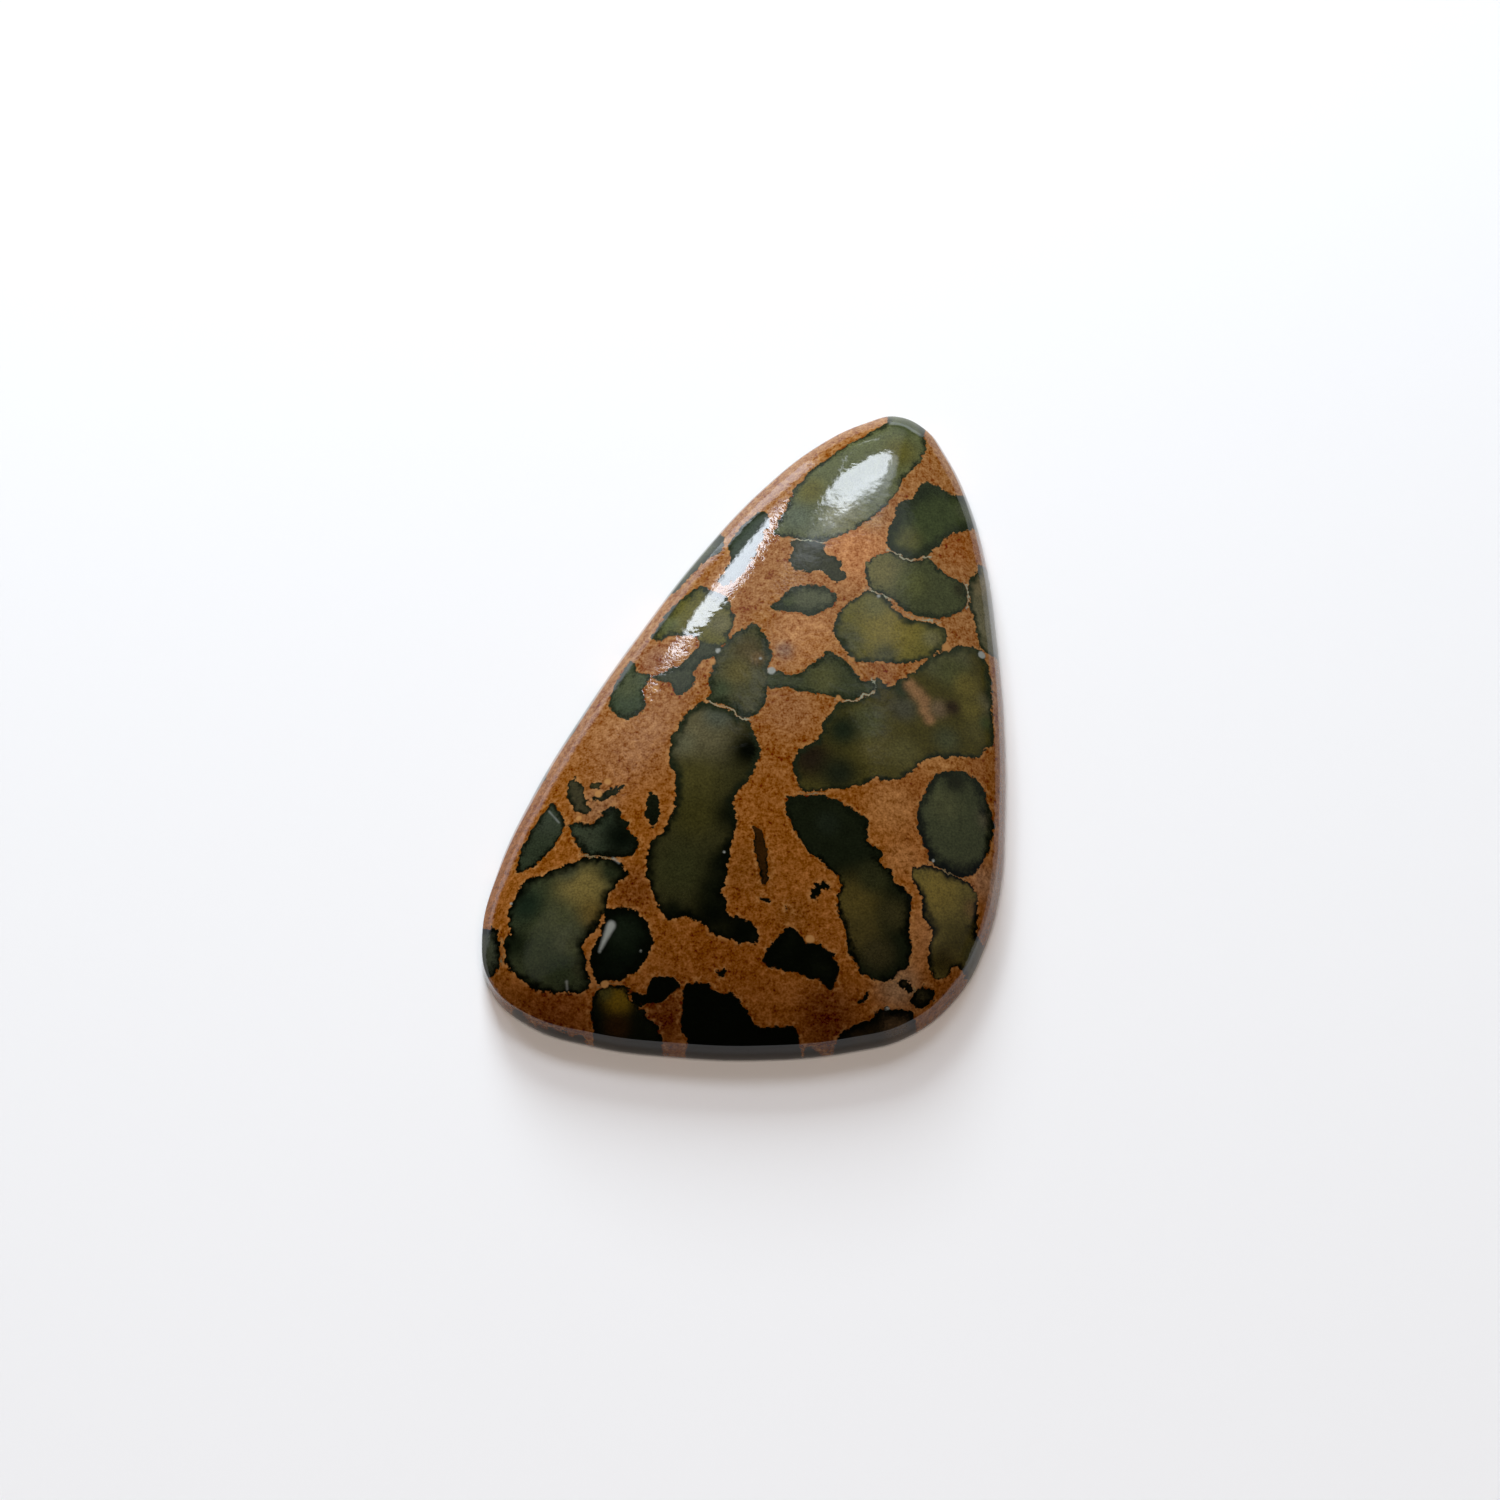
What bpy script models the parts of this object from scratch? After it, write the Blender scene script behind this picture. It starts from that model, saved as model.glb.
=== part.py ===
"""A freeform jasper cabochon: one hand-cut stone with a flat back, a leaning girdle and a low dome.

The stone lies on its flat back at z = 0, with +Z up through the dome. +Y runs the long way of the
stone, towards its narrow tip, and +X points to the side that the tip leans to. The origin is the
centre of the outline's box, on the back. Everything is in metres.
"""
import math

import bmesh
import bpy
from mathutils import Vector

MM = 0.001
NAME = "cabochon"

# girdle outline in millimetres, clockwise from the tip: a rounded triangle, cut freehand
OUTLINE = [
    (7.85, 17.25), (9.6, 16.42), (10.55, 15.0), (11.6, 12.55), (12.4, 9.3), (12.9, 4.7),
    (13.15, -0.6), (13.05, -4.8), (12.7, -8.8), (11.85, -11.8), (10.35, -14.45), (8.0, -16.35),
    (5.1, -17.15), (0.9, -17.55), (-3.6, -17.4), (-7.6, -16.85), (-10.85, -15.75),
    (-12.65, -14.05), (-13.15, -11.7), (-12.5, -8.0), (-10.85, -3.95), (-8.3, 0.65),
    (-5.45, 5.1), (-2.4, 9.4), (0.8, 13.1), (3.75, 15.6), (6.15, 16.85),
]

# side of the stone, from the back up to where the dome begins
BACK_BEVEL = 0.20 * MM
GIRDLE_HEIGHT = 1.45 * MM
GIRDLE_LEAN = 0.40 * MM

# around the broad left corner the side leans less and stands almost upright
UPRIGHT_CORNER = Vector((-12.9, -12.4)) * MM
UPRIGHT_REACH = 5.0 * MM
UPRIGHT_SHARE = 0.75

# dome: a quick round shoulder along the girdle and a slow crown over the whole stone, added
# together, each with the height it gains and the distance from the girdle that it takes to gain it
SHOULDER_RISE = 0.35 * MM
SHOULDER_REACH = 0.55 * MM
CROWN_RISE = 2.70 * MM
CROWN_REACH = 5.00 * MM
SUMMIT = Vector((1.0, -3.0)) * MM

# fineness of the faceted solid
POINTS_AROUND = 108
DOME_LEVELS = 18
LEVEL_CROWDING = 1.9
EDGE_SAMPLES = 540
CURVE_STEPS = 16

STONE_COLOUR = (0.26, 0.13, 0.05, 1.0)
STONE_ROUGHNESS = 0.12


def clear_scene():
    """Remove whatever the file holds, so that only the stone is left."""
    for thing in list(bpy.data.objects):
        bpy.data.objects.remove(thing, do_unlink=True)


def outline_curve():
    """The girdle outline as a closed smooth curve through its points."""
    data = bpy.data.curves.new("girdle_outline", "CURVE")
    data.dimensions = "2D"
    data.resolution_u = CURVE_STEPS
    spline = data.splines.new("BEZIER")
    spline.bezier_points.add(len(OUTLINE) - 1)
    for point, (x, y) in zip(spline.bezier_points, OUTLINE):
        point.co = (x * MM, y * MM, 0.0)
        point.handle_left_type = "AUTO"
        point.handle_right_type = "AUTO"
    spline.use_cyclic_u = True
    return bpy.data.objects.new("girdle_outline", data)


def curve_points(curve):
    """Points read along a closed curve object, in order, without the repeated last one."""
    bpy.context.scene.collection.objects.link(curve)
    evaluated = curve.evaluated_get(bpy.context.evaluated_depsgraph_get())
    mesh = bpy.data.meshes.new_from_object(evaluated)
    points = [vertex.co.xy for vertex in mesh.vertices]
    bpy.data.meshes.remove(mesh)
    bpy.data.objects.remove(curve, do_unlink=True)
    return points


def line_steps(points):
    """Length of each step around a closed line."""
    return [(b - a).length for a, b in zip(points, points[1:] + points[:1])]


def line_length(points):
    """Length all the way around a closed line."""
    return sum(line_steps(points))


def spaced_evenly(points, count):
    """The same closed line with its points an equal length apart."""
    closed = points + points[:1]
    steps = line_steps(points)
    spacing = line_length(points) / count
    even = []
    index, start = 0, 0.0
    for k in range(count):
        wanted = k * spacing
        while start + steps[index] < wanted:
            start += steps[index]
            index += 1
        part = (wanted - start) / steps[index]
        even.append(closed[index].lerp(closed[index + 1], part))
    return even


def moved_in(line, distances):
    """A closed clockwise line with each point moved inwards by its distance, square to the line."""
    moved = []
    for k, (point, distance) in enumerate(zip(line, distances)):
        along = line[(k + 1) % len(line)] - line[k - 1]
        inward = Vector((along.y, -along.x)).normalized()
        moved.append(point + inward * distance)
    return moved


def side_leans(line):
    """How far the side has leaned in by its top, at each point along the outline."""
    leans = []
    for point in line:
        nearness = math.exp(-((point - UPRIGHT_CORNER).length / UPRIGHT_REACH) ** 2)
        leans.append(GIRDLE_LEAN * (1.0 - UPRIGHT_SHARE * nearness))
    return leans


def soft_distance(point, edge):
    """Distance from the girdle, rounded off so that it has no ridge down the middle of the stone.

    Along a straight edge the sum of 1 / distance cubed is 2 / distance squared, which this turns
    back into a distance. Far from every edge all sides count, and the result levels out.
    """
    spacing = line_length(edge) / len(edge)
    total = sum(spacing / (point - other).length ** 3 for other in edge)
    return math.sqrt(2.0 / total)


def dome_height(distance, softened):
    """Height above the top of the girdle, from the plain and the softened distance to it."""
    shoulder = SHOULDER_RISE * (1.0 - math.exp(-distance / SHOULDER_REACH))
    crown = CROWN_RISE * (1.0 - math.exp(-softened / CROWN_REACH))
    return shoulder + crown


def dome_level(girdle, edge, part):
    """Points of one level line, drawn in towards the summit to a part of the girdle's size."""
    level = []
    for point in girdle:
        place = SUMMIT + (point - SUMMIT) * part
        distance = min((place - other).length for other in edge)
        softened = min(distance, soft_distance(place, edge))
        level.append((place.x, place.y, GIRDLE_HEIGHT + dome_height(distance, softened)))
    return level


def stone_sections():
    """Every level line of the stone, from the flat back to the last one below the summit."""
    line = curve_points(outline_curve())
    outline = spaced_evenly(line, POINTS_AROUND)
    girdle = moved_in(outline, side_leans(outline))
    samples = spaced_evenly(line, EDGE_SAMPLES)
    edge = moved_in(samples, side_leans(samples))
    sections = [
        [(p.x, p.y, 0.0) for p in moved_in(outline, [BACK_BEVEL] * POINTS_AROUND)],
        [(p.x, p.y, BACK_BEVEL) for p in outline],
        [(p.x, p.y, GIRDLE_HEIGHT) for p in girdle],
    ]
    for k in range(1, DOME_LEVELS):
        part = 1.0 - (k / DOME_LEVELS) ** LEVEL_CROWDING
        sections.append(dome_level(girdle, edge, part))
    summit = dome_level([SUMMIT], edge, 0.0)[0]
    return sections, summit


def loft(sections, summit):
    """Join the level lines with faces, close the back flat and the dome at its summit."""
    shape = bmesh.new()
    rings = [[shape.verts.new(place) for place in section] for section in sections]
    shape.faces.new(rings[0])
    for lower, upper in zip(rings, rings[1:]):
        for k in range(POINTS_AROUND):
            after = (k + 1) % POINTS_AROUND
            shape.faces.new((lower[k], upper[k], upper[after], lower[after]))
    top = shape.verts.new(summit)
    for k in range(POINTS_AROUND):
        shape.faces.new((rings[-1][k], top, rings[-1][(k + 1) % POINTS_AROUND]))
    bmesh.ops.recalc_face_normals(shape, faces=shape.faces)
    mesh = bpy.data.meshes.new(NAME)
    shape.to_mesh(mesh)
    shape.free()
    return mesh


def stone_material():
    """Polished jasper, in the brown of its ground."""
    material = bpy.data.materials.new("polished_jasper")
    material.use_nodes = True
    shader = material.node_tree.nodes["Principled BSDF"]
    shader.inputs["Base Color"].default_value = STONE_COLOUR
    shader.inputs["Roughness"].default_value = STONE_ROUGHNESS
    shader.inputs["Metallic"].default_value = 0.0
    return material


def make_stone():
    """The whole stone as one solid."""
    sections, summit = stone_sections()
    stone = bpy.data.objects.new(NAME, loft(sections, summit))
    stone.data.materials.append(stone_material())
    stone.data.shade_smooth()
    stone.data.set_sharp_from_angle(angle=math.radians(40.0))
    collection = bpy.data.collections.new("jasper_cabochon")
    bpy.context.scene.collection.children.link(collection)
    collection.objects.link(stone)


clear_scene()
make_stone()
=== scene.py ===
"""Looks of a fruit jasper cabochon: one polished stone, its pebbles, its ground and its gloss."""
import math

import bmesh
import bpy
import numpy as np
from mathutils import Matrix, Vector


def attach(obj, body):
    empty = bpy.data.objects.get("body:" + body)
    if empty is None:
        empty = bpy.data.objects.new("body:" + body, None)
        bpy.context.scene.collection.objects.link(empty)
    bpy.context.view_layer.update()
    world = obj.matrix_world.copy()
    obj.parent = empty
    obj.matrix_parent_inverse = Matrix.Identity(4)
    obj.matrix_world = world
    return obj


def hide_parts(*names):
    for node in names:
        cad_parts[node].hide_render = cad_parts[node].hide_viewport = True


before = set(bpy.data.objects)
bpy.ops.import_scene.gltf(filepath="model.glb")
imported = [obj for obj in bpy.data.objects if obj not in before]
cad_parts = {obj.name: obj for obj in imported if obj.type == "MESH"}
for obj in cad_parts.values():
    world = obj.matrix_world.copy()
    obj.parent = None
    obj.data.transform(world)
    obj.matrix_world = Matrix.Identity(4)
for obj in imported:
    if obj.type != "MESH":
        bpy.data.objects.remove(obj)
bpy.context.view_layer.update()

MM = 0.001

# The stone's form
# One piece of jasper, sawn flat behind, ground to a freehand outline with a leaning side, and
# domed on top: a quick round shoulder along the side and a slow crown over the whole stone.
# The outline runs clockwise from the tip, in millimetres.
OUTLINE = [
    (7.85, 17.25), (9.6, 16.42), (10.55, 15.0), (11.6, 12.55), (12.4, 9.3), (12.9, 4.7),
    (13.15, -0.6), (13.05, -4.8), (12.7, -8.8), (11.85, -11.8), (10.35, -14.45), (8.0, -16.35),
    (5.1, -17.15), (0.9, -17.55), (-3.6, -17.4), (-7.6, -16.85), (-10.85, -15.75),
    (-12.65, -14.05), (-13.15, -11.7), (-12.5, -8.0), (-10.85, -3.95), (-8.3, 0.65),
    (-5.45, 5.1), (-2.4, 9.4), (0.8, 13.1), (3.75, 15.6), (6.15, 16.85),
]
OUTLINE_STEPS = 32
FORM = {
    "Points Around": 480, "Dome Rings": 150, "Side Rings": 14, "Back Rings": 34, "Edge Samples": 540,
    "Back Bevel": 0.20 * MM, "Girdle Height": 1.45 * MM, "Girdle Lean": 0.40 * MM,
    "Upright Corner": Vector((-12.9, -12.4, 0.0)) * MM, "Upright Reach": 5.0 * MM, "Upright Share": 0.75,
    "Side Swell": 1.5, "Shoulder Rise": 0.35 * MM, "Shoulder Reach": 0.55 * MM,
    "Crown Rise": 2.70 * MM, "Crown Reach": 5.00 * MM, "Summit": Vector((1.0, -3.0, 0.0)) * MM,
    "Ring Crowding": 1.5, "Hand Waver": 0.012 * MM, "Waver Size": 4.5 * MM,
}
SOCKET_KINDS = {int: "NodeSocketInt", float: "NodeSocketFloat", Vector: "NodeSocketVector"}
WELD = 1e-7


def add(tree, kind, inputs=(), **settings):
    """A new node with its settings made and its inputs set, or linked where a socket is given."""
    made = tree.nodes.new(kind)
    for name, value in settings.items():
        setattr(made, name, value)
    for key, value in dict(inputs).items():
        if isinstance(value, bpy.types.NodeSocket):
            tree.links.new(value, made.inputs[key])
        else:
            made.inputs[key].default_value = value
    return made


def math_in(tree):
    """A short hand for Math nodes in one tree: sum, product and so on of numbers and sockets."""
    def work(operation, *values):
        return add(tree, "ShaderNodeMath", enumerate(values), operation=operation).outputs[0]
    return work


def vector_math_in(tree):
    """The same for Vector Math nodes; a length or distance comes from the second output."""
    def work(operation, *values, output=0):
        made = add(tree, "ShaderNodeVectorMath", operation=operation)
        for key, value in enumerate(values):
            socket = made.inputs["Scale"] if operation == "SCALE" and key == 1 else made.inputs[key]
            if isinstance(value, bpy.types.NodeSocket):
                tree.links.new(value, socket)
            else:
                socket.default_value = value
        return made.outputs[output]
    return work


def cabochon_form():
    """The tree that turns the outline curve into the closed stone, back, side and dome."""
    tree = bpy.data.node_groups.new("cabochon_form", "GeometryNodeTree")
    face = tree.interface
    face.new_socket("Outline", in_out="INPUT", socket_type="NodeSocketGeometry")
    for name, value in FORM.items():
        face.new_socket(name, in_out="INPUT", socket_type=SOCKET_KINDS[type(value)])
    face.new_socket("Finish", in_out="INPUT", socket_type="NodeSocketMaterial")
    face.new_socket("Stone", in_out="OUTPUT", socket_type="NodeSocketGeometry")
    size = add(tree, "NodeGroupInput").outputs
    calc = math_in(tree)
    vec = vector_math_in(tree)

    def lean_at(place):
        """How far the side has leaned in by its top, at this place along the outline."""
        off = calc("DIVIDE", vec("DISTANCE", place, size["Upright Corner"], output=1), size["Upright Reach"])
        nearness = calc("EXPONENT", calc("MULTIPLY", calc("MULTIPLY", off, off), -1.0))
        share = calc("SUBTRACT", 1.0, calc("MULTIPLY", nearness, size["Upright Share"]))
        return calc("MULTIPLY", size["Girdle Lean"], share)

    # the girdle line: the outline moved in by the lean, square to itself
    position = add(tree, "GeometryNodeInputPosition").outputs[0]
    tangent = add(tree, "GeometryNodeInputTangent").outputs[0]
    up = (0.0, 0.0, 1.0)
    inward = vec("NORMALIZE", vec("CROSS_PRODUCT", tangent, up))
    girdle = add(tree, "GeometryNodeSetPosition", {
        "Geometry": size["Outline"], "Offset": vec("SCALE", inward, lean_at(position))})
    edge = add(tree, "GeometryNodeResampleCurve", {
        "Curve": girdle.outputs[0], "Count": size["Edge Samples"]})
    edge_length = add(tree, "GeometryNodeCurveLength", {"Curve": edge.outputs[0]})
    rim = add(tree, "GeometryNodeCurveToMesh", {"Curve": size["Outline"]})
    spacing = calc("DIVIDE", edge_length.outputs[0], size["Edge Samples"])

    def sheet(rings):
        """A flat grid: how far round the stone each point is, how far across, and where it starts."""
        across = calc("ADD", rings, 1.0)
        grid = add(tree, "GeometryNodeMeshGrid", {
            "Vertices X": calc("ADD", size["Points Around"], 1.0), "Vertices Y": across})
        index = add(tree, "GeometryNodeInputIndex").outputs[0]
        place = calc("FLOOR", calc("DIVIDE", calc("ADD", index, 0.5), across))
        ring = calc("SUBTRACT", index, calc("MULTIPLY", place, across))
        around = calc("DIVIDE", place, size["Points Around"])
        sample = add(tree, "GeometryNodeSampleCurve", {
            "Curves": size["Outline"], "Factor": around}, mode="FACTOR")
        square = vec("NORMALIZE", vec("CROSS_PRODUCT", sample.outputs["Tangent"], up))
        return grid.outputs[0], calc("DIVIDE", ring, rings), sample.outputs["Position"], square

    def moved(mesh, place):
        return add(tree, "GeometryNodeSetPosition", {"Geometry": mesh, "Position": place}).outputs[0]

    def noted(mesh, name, value):
        return add(tree, "GeometryNodeStoreNamedAttribute", {
            "Geometry": mesh, "Name": name, "Value": value},
            data_type="FLOAT", domain="POINT").outputs[0]

    def read(name):
        return add(tree, "GeometryNodeInputNamedAttribute", {"Name": name},
                   data_type="FLOAT").outputs[0]

    def towards_summit(line, part):
        from_summit = vec("SUBTRACT", line, size["Summit"])
        return vec("ADD", size["Summit"], vec("SCALE", from_summit, part))

    # dome and back, both still flat, as rings drawn in towards the summit
    mesh, across, outline, square = sheet(size["Dome Rings"])
    line = vec("ADD", outline, vec("SCALE", square, lean_at(outline)))
    part = calc("SUBTRACT", 1.0, calc("POWER", across, size["Ring Crowding"]))
    inside = calc("GREATER_THAN", across, 0.0)
    dome = noted(noted(moved(mesh, towards_summit(line, part)), "lift", 1.0), "inside", inside)
    mesh, across, outline, square = sheet(size["Back Rings"])
    line = vec("ADD", outline, vec("SCALE", square, size["Back Bevel"]))
    back = noted(noted(moved(mesh, towards_summit(line, across)), "lift", 0.0), "inside", 1.0)
    flat = add(tree, "GeometryNodeJoinGeometry")
    tree.links.new(dome, flat.inputs[0])
    tree.links.new(back, flat.inputs[0])

    # pull of the edge: the sum of spacing over distance cubed, which levels the dome's middle
    start = add(tree, "GeometryNodeRepeatInput")
    end = add(tree, "GeometryNodeRepeatOutput")
    start.pair_with_output(end)
    tree.links.new(noted(flat.outputs[0], "pull", 0.0), start.inputs["Geometry"])
    tree.links.new(size["Edge Samples"], start.inputs["Iterations"])
    at_edge = add(tree, "GeometryNodeSampleIndex", {
        "Geometry": edge.outputs[0], "Value": position, "Index": start.outputs["Iteration"]},
        data_type="FLOAT_VECTOR", domain="POINT").outputs[0]
    away = vec("LENGTH", vec("SUBTRACT", position, at_edge), output=1)
    gained = calc("DIVIDE", spacing, calc("MAXIMUM", calc("POWER", away, 3.0), 1e-15))
    tree.links.new(noted(start.outputs["Geometry"], "pull", calc("ADD", read("pull"), gained)),
                   end.inputs["Geometry"])

    # height of the dome above the girdle
    to_rim = add(tree, "GeometryNodeProximity", {"Geometry": rim.outputs[0]}, target_element="EDGES")
    lean = lean_at(to_rim.outputs["Position"])
    near = calc("MAXIMUM", calc("SUBTRACT", to_rim.outputs["Distance"], lean), 0.0)
    soft = calc("MINIMUM", near, calc("SQRT", calc("DIVIDE", 2.0, read("pull"))))
    trust = add(tree, "ShaderNodeMapRange", {
        "Value": near, "From Min": 0.3 * MM, "From Max": 1.2 * MM},
        interpolation_type="SMOOTHSTEP").outputs[0]
    softened = calc("ADD", near, calc("MULTIPLY", trust, calc("SUBTRACT", soft, near)))

    def eased(rise, distance, reach):
        gone = calc("EXPONENT", calc("MULTIPLY", calc("DIVIDE", distance, reach), -1.0))
        return calc("MULTIPLY", rise, calc("SUBTRACT", 1.0, gone))

    crown = calc("ADD", eased(size["Shoulder Rise"], near, size["Shoulder Reach"]),
                 eased(size["Crown Rise"], softened, size["Crown Reach"]))
    waver = add(tree, "ShaderNodeTexNoise", {
        "Vector": vec("SCALE", position, calc("DIVIDE", 1.0, size["Waver Size"])), "Scale": 1.0,
        "Detail": 0.0}, noise_dimensions="3D").outputs[0]
    waver = calc("MULTIPLY", calc("MULTIPLY", calc("SUBTRACT", waver, 0.5), trust), size["Hand Waver"])
    height = calc("ADD", size["Girdle Height"], calc("MULTIPLY", calc("ADD", crown, waver), read("inside")))
    lift = read("lift")
    known = noted(end.outputs["Geometry"], "cover", calc("MULTIPLY", height,
                                                         calc("SUBTRACT", 1.0, lift)))
    domed = add(tree, "GeometryNodeSetPosition", {
        "Geometry": known, "Offset": vec("SCALE", up, calc("MULTIPLY", height, lift))}).outputs[0]

    # side: a small round bevel up from the back, then up to the girdle line, leaning in more and more
    mesh, across, outline, square = sheet(size["Side Rings"])
    bevel_share = 0.3
    turn = calc("MULTIPLY", calc("MINIMUM", calc("DIVIDE", across, bevel_share), 1.0), math.pi / 2)
    climb = calc("MAXIMUM", calc("DIVIDE", calc("SUBTRACT", across, bevel_share), 1 - bevel_share), 0.0)
    out = calc("ADD",
               calc("MULTIPLY", size["Back Bevel"], calc("SUBTRACT", 1.0, calc("SINE", turn))),
               calc("MULTIPLY", lean_at(outline), calc("POWER", climb, size["Side Swell"])))
    rise = calc("ADD",
                calc("MULTIPLY", size["Back Bevel"], calc("SUBTRACT", 1.0, calc("COSINE", turn))),
                calc("MULTIPLY", calc("SUBTRACT", size["Girdle Height"], size["Back Bevel"]), climb))
    place = vec("ADD", vec("ADD", outline, vec("SCALE", square, out)), vec("SCALE", up, rise))
    side = noted(moved(mesh, place), "cover", calc("SUBTRACT", size["Girdle Height"], rise))

    whole = add(tree, "GeometryNodeJoinGeometry")
    tree.links.new(domed, whole.inputs[0])
    tree.links.new(side, whole.inputs[0])
    welded = add(tree, "GeometryNodeMergeByDistance", {"Geometry": whole.outputs[0], "Distance": WELD})
    real = add(tree, "GeometryNodeRealizeInstances", {"Geometry": welded.outputs[0]})
    finished = add(tree, "GeometryNodeSetMaterial", {
        "Geometry": real.outputs[0], "Material": size["Finish"]})
    add(tree, "NodeGroupOutput", {"Stone": finished.outputs[0]})
    return tree


def outline_curve():
    """The outline as a closed smooth curve object."""
    data = bpy.data.curves.new("outline", "CURVE")
    data.dimensions = "2D"
    data.resolution_u = OUTLINE_STEPS
    spline = data.splines.new("BEZIER")
    spline.bezier_points.add(len(OUTLINE) - 1)
    for point, (x, y) in zip(spline.bezier_points, OUTLINE):
        point.co = (x * MM, y * MM, 0.0)
        point.handle_left_type = "AUTO"
        point.handle_right_type = "AUTO"
    spline.use_cyclic_u = True
    curve = bpy.data.objects.new("outline", data)
    bpy.context.scene.collection.objects.link(curve)
    return curve


def shaped_stone(finish):
    """The stone as a plain mesh, made by the form tree from the outline."""
    curve = outline_curve()
    tree = cabochon_form()
    modifier = curve.modifiers.new("form", "NODES")
    modifier.node_group = tree
    sockets = {item.name: item.identifier for item in tree.interface.items_tree
               if item.in_out == "INPUT"}
    for name, value in FORM.items():
        modifier[sockets[name]] = value
    modifier[sockets["Finish"]] = finish
    evaluated = curve.evaluated_get(bpy.context.evaluated_depsgraph_get())
    mesh = bpy.data.meshes.new_from_object(evaluated)
    curve.modifiers.clear()
    bpy.data.objects.remove(curve, do_unlink=True)
    shape = bmesh.new()
    shape.from_mesh(mesh)
    bmesh.ops.recalc_face_normals(shape, faces=shape.faces)
    shape.to_mesh(mesh)
    shape.free()
    mesh.shade_smooth()
    stone = bpy.data.objects.new("jasper_stone", mesh)
    bpy.context.scene.collection.objects.link(stone)
    return stone


# The pebbles
# Rounded pebbles and chips of green to black jasper, older than the ground that holds them. Each
# is a dark skin around a lighter heart. They lie at every depth, so the saw and the polish cut
# some wide and some small, and they show on the dome, on the side and on the back.
# Every line runs round one pebble in millimetres, as seen from above, save rim shadow, which is painted shade. A heart
# is a colour, the width of the dark skin, and then soft patches: middle, reach and colour of each.
BLACK_SKIN = (0.0012, 0.0017, 0.0006)
NEAR_BLACK = (0.0034, 0.0042, 0.0015)
DEEP_GREEN = (0.020, 0.026, 0.012)
GREEN = (0.040, 0.048, 0.016)
GREY_GREEN = (0.055, 0.062, 0.030)
PALE_GREEN = (0.076, 0.082, 0.032)
OLIVE = (0.085, 0.076, 0.017)
YELLOW_OLIVE = (0.135, 0.100, 0.020)
DARK_OLIVE = (0.044, 0.037, 0.008)
BROWN_OLIVE = (0.062, 0.050, 0.020)
BROWN = (0.080, 0.052, 0.020)
RUST = (0.190, 0.100, 0.042)
MUSTARD = (0.100, 0.060, 0.004)

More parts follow.
